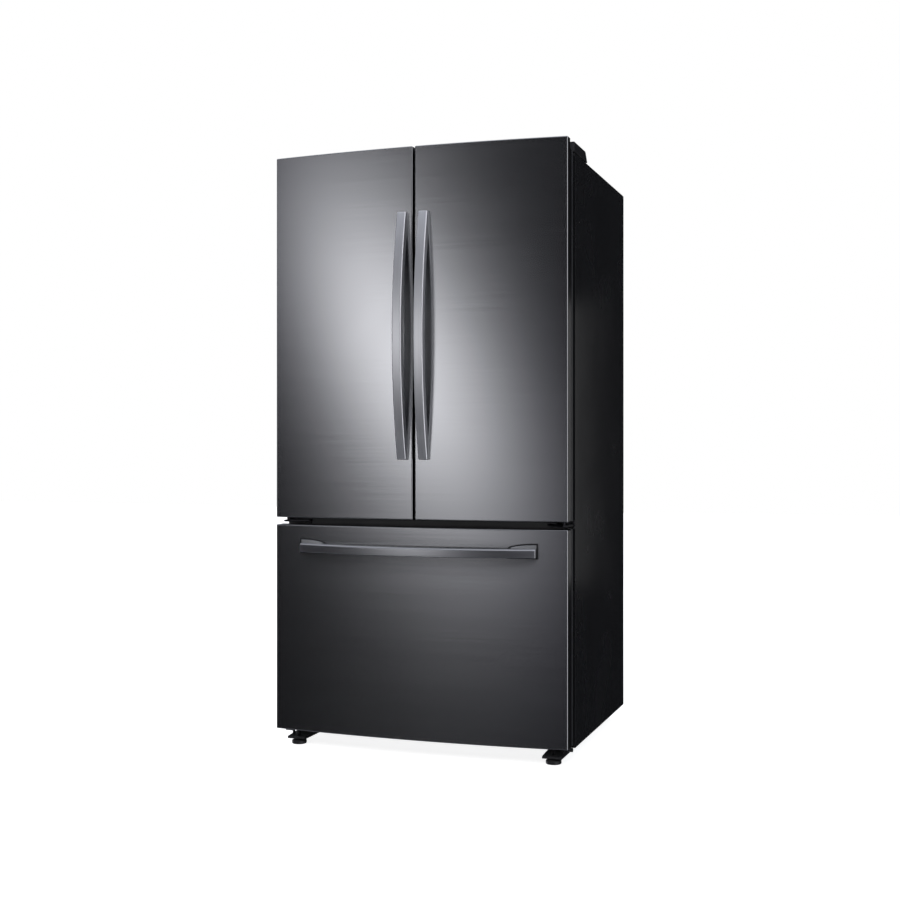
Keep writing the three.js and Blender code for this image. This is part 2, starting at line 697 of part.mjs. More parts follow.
function centerHinge(name, side) {
  const { x, y, pin } = HINGE;
  const [low, high] = [676.5, 681.5];
  const face = CABINET.front - GAP;
  const outline = [[376, face], [376, face - 16], [x - 14, y - 4], [x, y - 12], [x + 13, y - 6], [450, face]];
  const plate = prismZ(side > 0 ? outline : mirrored(outline).reverse(), low, high);
  const flange = sideBox(side, 376, 450, [face - 4, 671], [face, 690]);
  return part(name, 'zinc', join([plate, flange, rodZ(side * x, y, pin, low, DOOR.bottom + 14, 12)]));
}

// ---------------------------------------------------------------- feet and rollers

function legBracket(name, side) {
  const { x, y, stem } = FOOT;
  const half = 28.5;
  const outline = [
    [-317, 17], [-319, 20], [-317, 24], [-254, 29], [-245, CABINET.bottom - GAP],
    [-200, CABINET.bottom - GAP], [-200, 17],
  ];
  const bar = prismX(outline, side * x - half, side * x + half);
  const web = sideBox(side, x + half - 4, x + half, [-284, 24], [-274, 38.5]);
  const [from, to] = side > 0 ? [x + half - 4, 452] : [-452, -x - half + 4];
  const knob = rodX(-279, 38.5, 6, from, to, 12);
  const hole = rodZ(side * x, y, stem + 0.6, 10, 35, 16);
  return part(name, 'blackPaint', cut(join([bar, web, knob]), hole));
}

function levelingFoot(name, side) {
  const { x, y, radius, stem, high } = FOOT;
  const profile = [[0, 0], [radius - 2, 0], [radius, 2], [radius, 9], [12, 13.5], [stem, 15], [stem, high], [0, high]];
  return pivoted([side * x, y, 0], [part(name, 'blackPlastic', turned(profile), [side * x, y, 0])]);
}

function rearRoller(name, side) {
  const { x, y, radius, wide, bore } = ROLLER;
  const half = wide / 2;
  const wheel = rodX(0, 0, radius, -half, half, 24).subtract(rodX(0, 0, bore, -half - 1, half + 1, 12));
  return pivoted([side * x, y, radius], [part(name, 'blackPlastic', wheel, [side * x, y, radius])]);
}

// ---------------------------------------------------------------- the whole

function cabinetAssembly() {
  const group = new THREE.Group();
  group.add(cabinetShell(), cabinetFoam(), fridgeLiner(), freezerLiner(), mullionRail(), backPanel());
  group.add(basePlate(), compressorCover(), compressor(), condenserCoil(), fanShroud(), drainPan());
  group.add(airDuct(), controlHousing(), evaporatorCover());
  group.add(...shelf('shelf_upper', SHELF_LEVELS.upper), ...shelf('shelf_lower', SHELF_LEVELS.lower));
  group.add(...shelf('crisper_cover', SHELF_LEVELS.crisper, crisperPost()));
  for (const [name, side] of SIDES) {
    group.add(topHinge(`top_hinge_${name}`, side), hingeCover(`hinge_cover_${name}`, side));
    group.add(centerHinge(`center_hinge_${name}`, side), legBracket(`leg_bracket_${name}`, side));
    group.add(slideRail(side, `freezer_rail_${name}`));
  }
  return group;
}

function refrigerator() {
  const group = new THREE.Group();
  group.add(cabinetAssembly(), drawerAssembly(), upperBasket(), flipMullion(), condenserFan());
  for (const [name, side] of SIDES) {
    group.add(doorAssembly(name, side), crisper(`crisper_${name}`, side));
    group.add(levelingFoot(`leveling_foot_${name}`, side), rearRoller(`rear_roller_${name}`, side));
  }
  return group;
}

export default refrigerator();
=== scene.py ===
"""French door refrigerator over a freezer drawer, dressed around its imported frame.

Lengths are metres, +Z is up and the doors face -Y.
"""

import logging
import math
from dataclasses import dataclass
from enum import Enum
from typing import Any, Callable, Iterable, Sequence

import bmesh
import bpy
from bmesh.types import BMEdge, BMFace, BMVert
from mathutils import Matrix, Vector


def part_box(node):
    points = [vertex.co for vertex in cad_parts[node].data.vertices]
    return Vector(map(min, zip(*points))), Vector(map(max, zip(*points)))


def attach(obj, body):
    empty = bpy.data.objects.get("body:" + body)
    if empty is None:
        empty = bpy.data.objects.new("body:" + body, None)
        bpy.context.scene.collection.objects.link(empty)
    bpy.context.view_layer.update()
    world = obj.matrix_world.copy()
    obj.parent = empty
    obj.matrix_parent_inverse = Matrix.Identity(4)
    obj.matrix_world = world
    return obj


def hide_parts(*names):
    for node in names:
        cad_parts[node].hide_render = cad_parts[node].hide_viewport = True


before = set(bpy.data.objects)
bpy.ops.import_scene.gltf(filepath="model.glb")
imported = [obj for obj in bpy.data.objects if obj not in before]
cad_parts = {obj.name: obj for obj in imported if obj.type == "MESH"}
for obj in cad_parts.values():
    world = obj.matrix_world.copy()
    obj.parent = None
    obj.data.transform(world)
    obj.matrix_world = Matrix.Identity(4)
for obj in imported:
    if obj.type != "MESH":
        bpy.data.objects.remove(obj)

LOG = logging.getLogger("refrigerator")
MM = 0.001
SHEET = 1.0 * MM
SEAL_MARGIN = 18 * MM
SEAL_GAP = 0.2 * MM
FRAME_EDGE = 0.9 * MM
Point = Sequence[float]
Colour = tuple[float, float, float]
Socket = bpy.types.NodeSocket
Sockets = dict[str, Socket]


class Side(Enum):
    """The two sides of the cabinet, as seen by a person who faces the doors."""

    LEFT = -1
    RIGHT = 1

    @property
    def label(self) -> str:
        """The side's name as it stands in the names of pieces."""
        return self.name.lower()


class Grain(Enum):
    """Directions of the brushing, as scales of the noise along X, Y and Z."""

    ACROSS = (1.2, 40.0, 190.0)
    UPRIGHT = (380.0, 40.0, 1.2)


# ---------------------------------------------------------------- bench: meshes made by operators


class Workpiece:
    """A mesh on the bench, started from simple solids and shaped by operators."""

    def __init__(self) -> None:
        """Start with an empty mesh."""
        self.bm = bmesh.new()

    def take(self, part: bmesh.types.BMesh) -> None:
        """Add another mesh to this one and free it.

        Args:
            part: The mesh to add.
        """
        loose = bpy.data.meshes.new("loose")
        part.to_mesh(loose)
        part.free()
        self.bm.from_mesh(loose)
        bpy.data.meshes.remove(loose)

    def block(self, low: Point, high: Point, rounding: float = 0.0, segments: int = 3) -> None:
        """Add a block.

        Args:
            low: Its lowest corner.
            high: Its highest corner.
            rounding: Radius of all its edges.
            segments: Steps in each rounding.
        """
        part = bmesh.new()
        lo, hi = Vector(low), Vector(high)
        size = Matrix.Diagonal((*(hi - lo), 1.0))
        bmesh.ops.create_cube(part, size=1.0, matrix=Matrix.Translation((lo + hi) / 2) @ size)
        if rounding:
            round_edges(part, part.edges[:], rounding, segments)
        self.take(part)

    def rod(self, start: Point, end: Point, radius: float, sides: int = 28) -> None:
        """Add a round rod with softened rims.

        Args:
            start: Middle of its first end.
            end: Middle of its second end.
            radius: Its radius.
            sides: Faces around it.
        """
        part = bmesh.new()
        a, b = Vector(start), Vector(end)
        turn = Vector((0.0, 0.0, 1.0)).rotation_difference(b - a).to_matrix().to_4x4()
        place = Matrix.Translation((a + b) / 2) @ turn
        bmesh.ops.create_cone(
            part, cap_ends=True, segments=sides, radius1=radius, radius2=radius,
            depth=(b - a).length, matrix=place,
        )
        rims = [e for e in part.edges if any(len(f.verts) > 4 for f in e.link_faces)]
        round_edges(part, rims, min(radius, (b - a).length) * 0.12, 2)
        self.take(part)

    def extrusion(self, outline: Iterable[Point], travel: Point) -> None:
        """Add a solid swept straight from a flat outline along travel.

        Args:
            outline: The outline's corners.
            travel: How far and which way it is swept.
        """
        part = bmesh.new()
        base = part.faces.new([part.verts.new(p) for p in outline])
        made = bmesh.ops.extrude_face_region(part, geom=[base])["geom"]
        bmesh.ops.translate(part, vec=Vector(travel), verts=only(made, BMVert))
        bmesh.ops.recalc_face_normals(part, faces=part.faces[:])
        self.take(part)

    def turned(self, profile: Iterable[tuple[float, float]], place: Matrix, steps: int = 48) -> None:
        """Add a turned solid.

        Args:
            profile: Pairs of radius and height, from the axis back to the axis.
            place: Where the solid's own axis, Z, goes.
            steps: Faces around it.
        """
        part = bmesh.new()
        spots = [part.verts.new((radius, 0.0, height)) for radius, height in profile]
        edges = [part.edges.new(pair) for pair in zip(spots, spots[1:])]
        bmesh.ops.spin(
            part, geom=[*spots, *edges], cent=(0, 0, 0), axis=(0, 0, 1), angle=math.tau, steps=steps,
            use_merge=True,
        )
        bmesh.ops.remove_doubles(part, verts=part.verts[:], dist=1e-5)
        bmesh.ops.recalc_face_normals(part, faces=part.faces[:])
        part.transform(place)
        self.take(part)

    def wire(self, points: Sequence[Point], radius: float, closed: bool = False, bend: float = 0.0) -> None:
        """Add a round wire or tube along points.

        Args:
            points: Its route.
            radius: Its radius.
            closed: Whether its ends join.
            bend: Radius of the bends at its inner points, at most half of a leg.
        """
        curve = bpy.data.curves.new("wire", "CURVE")
        curve.dimensions = "3D"
        curve.bevel_depth = radius
        curve.bevel_resolution = 2
        curve.use_fill_caps = True
        route = bent_route([Vector(p) for p in points], bend) if bend else [Vector(p) for p in points]
        spline = curve.splines.new("POLY")
        spline.points.add(len(route) - 1)
        for spot, point in zip(spline.points, route):
            spot.co = (*point, 1.0)
        spline.use_cyclic_u = closed
        holder = bpy.data.objects.new("wire", curve)
        bpy.context.scene.collection.objects.link(holder)
        bpy.context.view_layer.update()
        made = bpy.data.meshes.new_from_object(holder.evaluated_get(bpy.context.evaluated_depsgraph_get()))
        part = bmesh.new()
        part.from_mesh(made)
        bmesh.ops.remove_doubles(part, verts=part.verts[:], dist=1e-6)
        bmesh.ops.recalc_face_normals(part, faces=part.faces[:])
        self.take(part)
        bpy.data.objects.remove(holder)
        bpy.data.meshes.remove(made)
        bpy.data.curves.remove(curve)

    def ring(self, levels: Sequence[tuple[float, float, float]], low: Point, high: Point) -> None:
        """Add a four-sided ring with mitred corners around the Y axis.

        Args:
            levels: For each level its Y, how far the outside is drawn in, and how far the inside is.
            low: Lowest X and Z of the outline.
            high: Highest X and Z of the outline.
        """
        part = bmesh.new()
        walls = []
        for column in (1, 2):
            loops = [rectangle_loop(part, low, high, level[column], level[0]) for level in levels]
            for first, second in zip(loops, loops[1:]):
                bmesh.ops.bridge_loops(part, edges=first + second)
            walls.append(loops)
        for end in (0, -1):
            bmesh.ops.bridge_loops(part, edges=walls[0][end] + walls[1][end])
        bmesh.ops.recalc_face_normals(part, faces=part.faces[:])
        self.take(part)

    def cad_copy(self, node: str) -> None:
        """Add a copy of a CAD node, with its loose triangles merged into clean faces.

        Args:
            node: The CAD node's name.
        """
        part = bmesh.new()
        part.from_mesh(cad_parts[node].data)
        bmesh.ops.remove_doubles(part, verts=part.verts[:], dist=2e-5)
        bmesh.ops.dissolve_limit(
            part, angle_limit=math.radians(0.4), use_dissolve_boundaries=False, verts=part.verts[:],
            edges=part.edges[:],
        )
        self.take(part)

    def soften(self, width: float, segments: int = 2, angle: float = 30.0) -> None:
        """Round every edge that turns by more than angle degrees.

        Args:
            width: Radius of the rounding.
            segments: Steps in it.
            angle: Edges that turn by fewer degrees stay.
        """
        limit = math.radians(angle)
        edges = [e for e in self.bm.edges if e.is_manifold and e.calc_face_angle(0.0) > limit]
        round_edges(self.bm, edges, width, segments)

    def slice_along(self, axis: int, low: float, high: float, count: int) -> None:
        """Cut the mesh into count slices between two places along an axis, 0 for X to 2 for Z.

        Args:
            axis: The axis, 0 for X to 2 for Z.
            low: Where the first slice starts.
            high: Where the last slice ends.
            count: How many slices there are.
        """
        for step in range(1, count):
            self.cut(axis, low + (high - low) * step / count)

    def cut(self, axis: int, place: float) -> None:
        """Cut the whole mesh by a plane across an axis.

        Args:
            axis: The axis, 0 for X to 2 for Z.
            place: Where the plane stands on it.
        """
        normal = [float(axis == other) for other in range(3)]
        spot = [place * share for share in normal]
        geom = [*self.bm.verts, *self.bm.edges, *self.bm.faces]
        bmesh.ops.bisect_plane(self.bm, geom=geom, dist=1e-7, plane_co=spot, plane_no=normal)

    def shape(self, rule: Callable[[Vector], Vector]) -> None:
        """Move every vertex to where the rule says."""
        for vert in self.bm.verts:
            vert.co = rule(vert.co.copy())

    def drop_faces(self, test: Callable[[BMFace], bool]) -> None:
        """Delete the faces that pass the test."""
        bmesh.ops.delete(self.bm, geom=[f for f in self.bm.faces if test(f)], context="FACES")

    def done(
        self, name: str, body: str, finish: "Finish", *nodes: str, angle: float = 50.0,
    ) -> bpy.types.Object:
        """Turn the mesh into a finished piece.

        Args:
            name: The piece's name.
            body: The CAD body that it rides on.
            finish: Its finish.
            nodes: The CAD nodes that it stands for.
            angle: Edges that turn by more than this many degrees stay crisp.

        Returns:
            The piece's object.
        """
        mesh = bpy.data.meshes.new(name)
        self.bm.to_mesh(mesh)
        self.bm.free()
        mesh.materials.append(finish.material())
        mesh.shade_smooth()
        mesh.set_sharp_from_angle(angle=math.radians(angle))
        piece = bpy.data.objects.new(name, mesh)
        bpy.context.scene.collection.objects.link(piece)
        even = piece.modifiers.new("even shading", "WEIGHTED_NORMAL")
        even.keep_sharp = True
        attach(piece, body)
        if nodes:
            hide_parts(*nodes)
        LOG.info("%s: %d faces on %s", name, len(mesh.polygons), body)
        return piece


def only(geometry: Iterable[Any], kind: type) -> list[Any]:
    """The elements of one kind in a bmesh operator's result."""
    return [item for item in geometry if isinstance(item, kind)]


def round_edges(part: bmesh.types.BMesh, edges: list[BMEdge], radius: float, segments: int) -> None:
    """Round edges of a mesh with even segments.

    Args:
        part: The mesh.
        edges: Its edges to round.
        radius: Radius of the rounding.
        segments: Steps in it.
    """
    bmesh.ops.bevel(
        part, geom=edges, offset=radius, offset_type="OFFSET", segments=segments, profile=0.5,
        affect="EDGES", clamp_overlap=True, material=-1,
    )


def rectangle_loop(
    part: bmesh.types.BMesh, low: Point, high: Point, inset: float, y: float,
) -> list[BMEdge]:
    """Add an upright rectangle of four edges at one Y.

    Args:
        part: The mesh to add it to.
        low: Lowest X and Z.
        high: Highest X and Z.
        inset: How far it is drawn in on every side.
        y: Where it stands.

    Returns:
        Its four edges.
    """
    x0, z0, x1, z1 = low[0] + inset, low[1] + inset, high[0] - inset, high[1] - inset
    corners = [part.verts.new((x, y, z)) for x, z in ((x0, z0), (x1, z0), (x1, z1), (x0, z1))]
    return [part.edges.new((corners[i], corners[(i + 1) % 4])) for i in range(4)]


def bent_route(points: list[Vector], radius: float, steps: int = 5) -> list[Vector]:
    """Round the inner points of a route.

    Args:
        points: The route's corners.
        radius: How far before and after a corner the bend starts and ends.
        steps: Steps in each bend.

    Returns:
        The route with a smooth bend at each inner corner.
    """
    route = [points[0]]
    for before, corner, after in zip(points, points[1:], points[2:]):
        reach = min(radius, (corner - before).length / 2, (after - corner).length / 2)
        start = corner + (before - corner).normalized() * reach
        end = corner + (after - corner).normalized() * reach
        for step in range(steps + 1):
            t = step / steps
            route.append(start * (1 - t) ** 2 + corner * 2 * t * (1 - t) + end * t**2)
    return [*route, points[-1]]


def walled(piece: bpy.types.Object, thickness: float, rim: float = 0.0) -> bpy.types.Object:
    """Give a sheet piece its wall, away from the side that its faces look to.

    Args:
        piece: The sheet.
        thickness: The wall's thickness.
        rim: Rounding of the wall's free edges.

    Returns:
        The same piece.
    """
    wall = piece.modifiers.new("wall", "SOLIDIFY")
    wall.thickness = thickness
    wall.offset = -1.0
    wall.use_even_offset = True
    if rim:
        bevel = piece.modifiers.new("rim", "BEVEL")
        bevel.width = rim
        bevel.segments = 2
        bevel.limit_method = "ANGLE"
        bevel.angle_limit = math.radians(50.0)
    piece.modifiers.move(0, len(piece.modifiers) - 1)
    return piece


# ---------------------------------------------------------------- finishes


class NodeDesk:
    """Adds and links the nodes of one tree."""

    def __init__(self, tree: bpy.types.NodeTree) -> None:
        """Keep the tree."""
        self.tree = tree

    def put(self, kind: str, inputs: dict[Any, Any] | None = None, **settings: Any) -> bpy.types.Node:
        """Add a node.

        Args:
            kind: The node's type.
            inputs: Values or sockets for its inputs, by name or number.
            settings: Its own settings.

        Returns:
            The node.
        """
        node = self.tree.nodes.new(kind)
        for key, value in settings.items():
            setattr(node, key, value)
        for key, value in (inputs or {}).items():
            if isinstance(value, Socket):
                self.tree.links.new(value, node.inputs[key])
            else:
                node.inputs[key].default_value = value
        return node

    def maths(self, operation: str, *values: Any) -> Socket:
        """A maths node's result for values or sockets."""
        return self.put("ShaderNodeMath", dict(enumerate(values)), operation=operation).outputs[0]

    def vector_maths(self, operation: str, *values: Any) -> Socket:
        """A vector maths node's first result for values or sockets."""
        return self.put("ShaderNodeVectorMath", dict(enumerate(values)), operation=operation).outputs[0]

    def spread(self, value: Any, low: float, high: float, start: float = 0.0, end: float = 1.0) -> Socket:
        """A value that runs from start to end, mapped evenly to low to high and clamped there."""
        return self.put("ShaderNodeMapRange", {0: value, 1: start, 2: end, 3: low, 4: high}).outputs[0]

    def smooth(self, value: Any, top: float, start: float, end: float) -> Socket:
        """A value that rises softly from nothing at start to top at end."""
        inputs = {0: value, 1: start, 2: end, 3: 0.0, 4: top}
        return self.put("ShaderNodeMapRange", inputs, interpolation_type="SMOOTHSTEP").outputs[0]

    def blend(self, share: Any, first: Any, second: Any) -> Socket:
        """The mix of two colours."""
        return self.put("ShaderNodeMix", {0: share, 6: first, 7: second}, data_type="RGBA").outputs[2]

    def group(self, name: str, inputs: dict[str, Any]) -> bpy.types.Node:
        """Place a shared group with its own values."""
        return self.put("ShaderNodeGroup", inputs, node_tree=bpy.data.node_groups[name])

    def place(self) -> Socket:
        """The object's own coordinates."""
        return self.put("ShaderNodeTexCoord").outputs["Object"]


@dataclass(frozen=True)
class SharedEffect:
    """A node group that several finishes use."""

    name: str
    inputs: tuple[tuple[str, str, Any], ...]
    outputs: tuple[str, ...]
    rule: Callable[[NodeDesk, Sockets], Sockets]

    def build(self) -> None:
        """Make the group once, with named sockets."""
        tree = bpy.data.node_groups.new(self.name, "ShaderNodeTree")
        for label, kind, value in self.inputs:
            socket = tree.interface.new_socket(label, in_out="INPUT", socket_type=f"NodeSocket{kind}")
            if value is not None:
                socket.default_value = value
        for label in self.outputs:
            tree.interface.new_socket(label, in_out="OUTPUT", socket_type="NodeSocketFloat")
        desk = NodeDesk(tree)
        entry = desk.put("NodeGroupInput")
        results = self.rule(desk, {socket.name: socket for socket in entry.outputs if socket.name})
        desk.put("NodeGroupOutput", results)


def brushing(desk: NodeDesk, entry: Sockets) -> Sockets:
    """Long fine lines, and slow changes of tone along them.

    Args:
        desk: The group's desk.
        entry: The group's inputs by name.

    Returns:
        The group's outputs by name.
    """
    stretched = desk.vector_maths("MULTIPLY", entry["Vector"], entry["Stretch"])
    noise = {"Vector": stretched, "Scale": 1.0, "Detail": 4.0, "Roughness": 0.7}
    fine = desk.put("ShaderNodeTexNoise", noise)
    squeezed = desk.put("ShaderNodeVectorMath", {0: entry["Stretch"], "Scale": 0.08}, operation="SCALE")
    slow = desk.vector_maths("MULTIPLY", entry["Vector"], squeezed.outputs[0])
    bands = desk.put("ShaderNodeTexNoise", {"Vector": slow, "Scale": 1.0, "Detail": 3.0})
    return {"Lines": fine.outputs["Fac"], "Bands": bands.outputs["Fac"]}


def smudging(desk: NodeDesk, entry: Sockets) -> Sockets:
    """Faint wiping marks and clouds.

    Args:
        desk: The group's desk.
        entry: The group's inputs by name.

    Returns:
        The group's outputs by name.
    """
    where = {"Vector": entry["Vector"], "Scale": entry["Scale"]}
    cloud = desk.put("ShaderNodeTexNoise", {**where, "Detail": 4.0, "Distortion": 0.6})
    return {"Mask": desk.spread(cloud.outputs["Fac"], 0.0, 1.0, 0.42, 0.68)}


def pebbling(desk: NodeDesk, entry: Sockets) -> Sockets:
    """A fine even relief, as of sprayed paint or a moulding tool.

    Args:
        desk: The group's desk.
        entry: The group's inputs by name.

    Returns:
        The group's outputs by name.
    """
    where = {"Vector": entry["Vector"], "Scale": entry["Scale"]}
    cells = desk.put("ShaderNodeTexVoronoi", where, feature="SMOOTH_F1")
    grain = desk.put("ShaderNodeTexNoise", {**where, "Detail": 3.0})
    return {"Height": desk.maths("ADD", cells.outputs["Distance"], grain.outputs["Fac"])}


def dusting(desk: NodeDesk, entry: Sockets) -> Sockets:
    """Dust that lies where a surface looks up.

    Args:
        desk: The group's desk.
        entry: The group's inputs by name.

    Returns:
        The group's outputs by name.
    """
    normal = desk.put("ShaderNodeNewGeometry").outputs["Normal"]
    up = desk.put("ShaderNodeSeparateXYZ", {0: normal}).outputs["Z"]
    fluff = desk.put("ShaderNodeTexNoise", {"Vector": entry["Vector"], "Scale": 35.0, "Detail": 6.0})
    patches = desk.spread(fluff.outputs["Fac"], 0.3, 1.0, 0.35, 0.7)
    return {"Mask": desk.maths("MULTIPLY", desk.spread(up, 0.0, 1.0, 0.55, 0.95), patches)}


def rubbing(desk: NodeDesk, entry: Sockets) -> Sockets:
    """Edges rubbed brighter by hands and cloths.

    Args:
        desk: The group's desk.
        entry: The group's inputs by name.

    Returns:
        The group's outputs by name.
    """
    rounded = desk.put("ShaderNodeBevel", {"Radius": entry["Radius"]}, samples=4).outputs[0]
    normal = desk.put("ShaderNodeNewGeometry").outputs["Normal"]
    turned = {0: rounded, 1: normal}
    same = desk.put("ShaderNodeVectorMath", turned, operation="DOT_PRODUCT").outputs["Value"]
    edge = desk.spread(same, 1.0, 0.0, 0.82, 0.995)
    chips = desk.put("ShaderNodeTexNoise", {"Vector": entry["Vector"], "Scale": 160.0, "Detail": 4.0})
    return {"Mask": desk.maths("MULTIPLY", edge, desk.spread(chips.outputs["Fac"], 0.2, 1.0, 0.4, 0.62))}


PLACE = ("Vector", "Vector", None)
EFFECTS = (
    SharedEffect("brushing", (PLACE, ("Stretch", "Vector", (1, 1, 1))), ("Lines", "Bands"), brushing),
    SharedEffect("smudges", (PLACE, ("Scale", "Float", 3.0)), ("Mask",), smudging),
    SharedEffect("pebbles", (PLACE, ("Scale", "Float", 900.0)), ("Height",), pebbling),
    SharedEffect("dust", (PLACE,), ("Mask",), dusting),
    SharedEffect("rubbed edges", (PLACE, ("Radius", "Float", 0.0015)), ("Mask",), rubbing),
)
DUST = (0.42, 0.41, 0.39, 1.0)
PALE_DUST = (0.5, 0.49, 0.47, 1.0)


@dataclass(frozen=True)
class Finish:
    """A finish on a shader of its own: a base that the kinds of finish below add to."""

    name: str
    slot: str
    colour: Colour
    roughness: float

    def material(self) -> bpy.types.Material:
        """The finish's material, made on first use.

        Returns:
            The material.
        """
        found = bpy.data.materials.get(self.name)
        if found:
            return found
        made = bpy.data.materials.new(self.name)
        made.use_nodes = True
        made.diffuse_color = (*self.colour, 1.0)
        desk = NodeDesk(made.node_tree)
        shader = made.node_tree.nodes["Principled BSDF"]
        shader.inputs["Base Color"].default_value = (*self.colour, 1.0)
        shader.inputs["Roughness"].default_value = self.roughness
        self.dress(desk, shader, desk.place())
        return made

    def dress(self, desk: NodeDesk, shader: bpy.types.Node, place: Socket) -> None:
        """Add what this kind of finish has."""

    def tone(self, factor: float) -> tuple[float, float, float, float]:
        """The colour made lighter or darker."""
        red, green, blue = (min(1.0, channel * factor) for channel in self.colour)
        return red, green, blue, 1.0

    def relief(
        self, desk: NodeDesk, shader: bpy.types.Node, height: Any, strength: float, depth: float,
    ) -> None:
        """Link a height to the shader's normal.

        Args:
            desk: The material's desk.
            shader: Its Principled shader.
            height: The height socket.
            strength: Share of the relief.
            depth: The relief's depth.
        """
        bump = desk.put("ShaderNodeBump", {"Height": height, "Strength": strength, "Distance": depth})
        desk.tree.links.new(bump.outputs[0], shader.inputs["Normal"])


@dataclass(frozen=True)
class BrushedSteel(Finish):
    """Steel brushed in one direction, under a clear dark coat."""

    grain: Grain = Grain.ACROSS
    anisotropy: float = 0.2
    turn: float = 0.0
    play: float = 0.02
    # This field and the four below paint shadow into the steel's colour under things that stand over it; a
    # reach of 0 paints none.
    shelter: float = 0.0
    shelter_tilt: float = 0.45
    shelter_tone: float = 0.38
    shelter_span: tuple[float, float] = (0.58, 0.88)
    shelter_floor: float = 0.2

    def dress(self, desk: NodeDesk, shader: bpy.types.Node, place: Socket) -> None:
        """Add brushed lines to colour, gloss and relief, and painted shadow under things that stand over the
        surface where a reach is given.

        Args:
            desk: The material's desk.
            shader: Its Principled shader.
            place: Coordinates of the piece for its patterns.
        """
        lines = desk.group("brushing", {"Vector": place, "Stretch": self.grain.value})
        smudge = desk.group("smudges", {"Vector": place, "Scale": 2.6})
        fine = desk.blend(lines.outputs["Lines"], self.tone(0.84), self.tone(1.16))
        broad = desk.blend(lines.outputs["Bands"], self.tone(0.97), self.tone(1.03))
        colour = desk.blend(0.35, fine, broad)
        # Painted shadow: the colour darkens where an upward-tilted occlusion probe meets something close.
        if self.shelter:
            colour = self.sheltered(desk, colour)
        desk.tree.links.new(colour, shader.inputs["Base Color"])
        rough = desk.spread(lines.outputs["Lines"], self.roughness - self.play, self.roughness + self.play)
        wiped = desk.maths("MULTIPLY_ADD", smudge.outputs["Mask"], 0.006, rough)
        desk.tree.links.new(wiped, shader.inputs["Roughness"])
        shader.inputs["Metallic"].default_value = 1.0
        shader.inputs["Anisotropic"].default_value = self.anisotropy
        shader.inputs["Anisotropic Rotation"].default_value = self.turn
        self.relief(desk, shader, lines.outputs["Lines"], 0.03, 0.02 * MM)

    def sheltered(self, desk: NodeDesk, colour: Socket) -> Socket:
        """Paint shadow into the colour where something near stands over the surface.

        Args:
            desk: The material's desk.
            colour: The steel's colour.

        Returns:
            The colour with painted shadow where something stands over it.
        """
        normal = desk.put("ShaderNodeNewGeometry").outputs["Normal"]
        raised = desk.vector_maths("ADD", normal, (0.0, 0.0, self.shelter_tilt))
        reach = {"Normal": raised, "Distance": self.shelter}
        shadow_probe = desk.put("ShaderNodeAmbientOcclusion", reach, samples=16)
        share = desk.spread(shadow_probe.outputs["AO"], self.shelter_floor, 1.0, *self.shelter_span)
        return desk.blend(share, self.tone(self.shelter_tone), colour)


@dataclass(frozen=True)
class PaintedSteel(Finish):
    """Sheet or cast steel under sprayed paint."""

    pebble: float = 700.0
    depth: float = 0.08 * MM
    rub: float = 0.35
    metallic: float = 0.0

    def dress(self, desk: NodeDesk, shader: bpy.types.Node, place: Socket) -> None:
        """Add orange peel, rubbed edges, dust and faint clouds.

        Args:
            desk: The material's desk.
            shader: Its Principled shader.
            place: Coordinates of the piece for its patterns.
        """
        smudge = desk.group("smudges", {"Vector": place, "Scale": 4.0}).outputs["Mask"]
        edges = desk.group("rubbed edges", {"Vector": place, "Radius": 0.8 * MM}).outputs["Mask"]
        dust = desk.group("dust", {"Vector": place}).outputs["Mask"]
        cloudy = desk.blend(smudge, self.tone(0.94), self.tone(1.08))
        rubbed = desk.blend(desk.maths("MULTIPLY", edges, self.rub), cloudy, self.tone(2.4))
        dusty = desk.blend(desk.maths("MULTIPLY", dust, 0.05), rubbed, DUST)
        desk.tree.links.new(dusty, shader.inputs["Base Color"])
        rough = desk.maths("MULTIPLY_ADD", smudge, 0.05, self.roughness)
        desk.tree.links.new(rough, shader.inputs["Roughness"])
        shader.inputs["Metallic"].default_value = self.metallic
        pebbles = desk.group("pebbles", {"Vector": place, "Scale": self.pebble})
        self.relief(desk, shader, pebbles.outputs["Height"], 0.22, self.depth)


@dataclass(frozen=True)
class ZincSheet(Finish):
    """Galvanised steel with its pale spangle."""

    spangle: float = 130.0
    metallic: float = 0.9

    def dress(self, desk: NodeDesk, shader: bpy.types.Node, place: Socket) -> None:
        """Add spangle and dull patches.

        Args:
            desk: The material's desk.
            shader: Its Principled shader.
            place: Coordinates of the piece for its patterns.
        """
        cells = desk.put("ShaderNodeTexVoronoi", {"Vector": place, "Scale": self.spangle})
        shade = desk.put("ShaderNodeSeparateColor", {0: cells.outputs["Color"]}).outputs[0]
        smudge = desk.group("smudges", {"Vector": place, "Scale": 7.0}).outputs["Mask"]
        crystal = desk.blend(shade, self.tone(0.84), self.tone(1.12))
        dull = desk.blend(desk.maths("MULTIPLY", smudge, 0.25), crystal, self.tone(0.7))
        desk.tree.links.new(dull, shader.inputs["Base Color"])
        rough = desk.spread(shade, self.roughness - 0.07, self.roughness + 0.08)
        desk.tree.links.new(rough, shader.inputs["Roughness"])
        shader.inputs["Metallic"].default_value = self.metallic
        self.relief(desk, shader, shade, 0.08, 0.05 * MM)


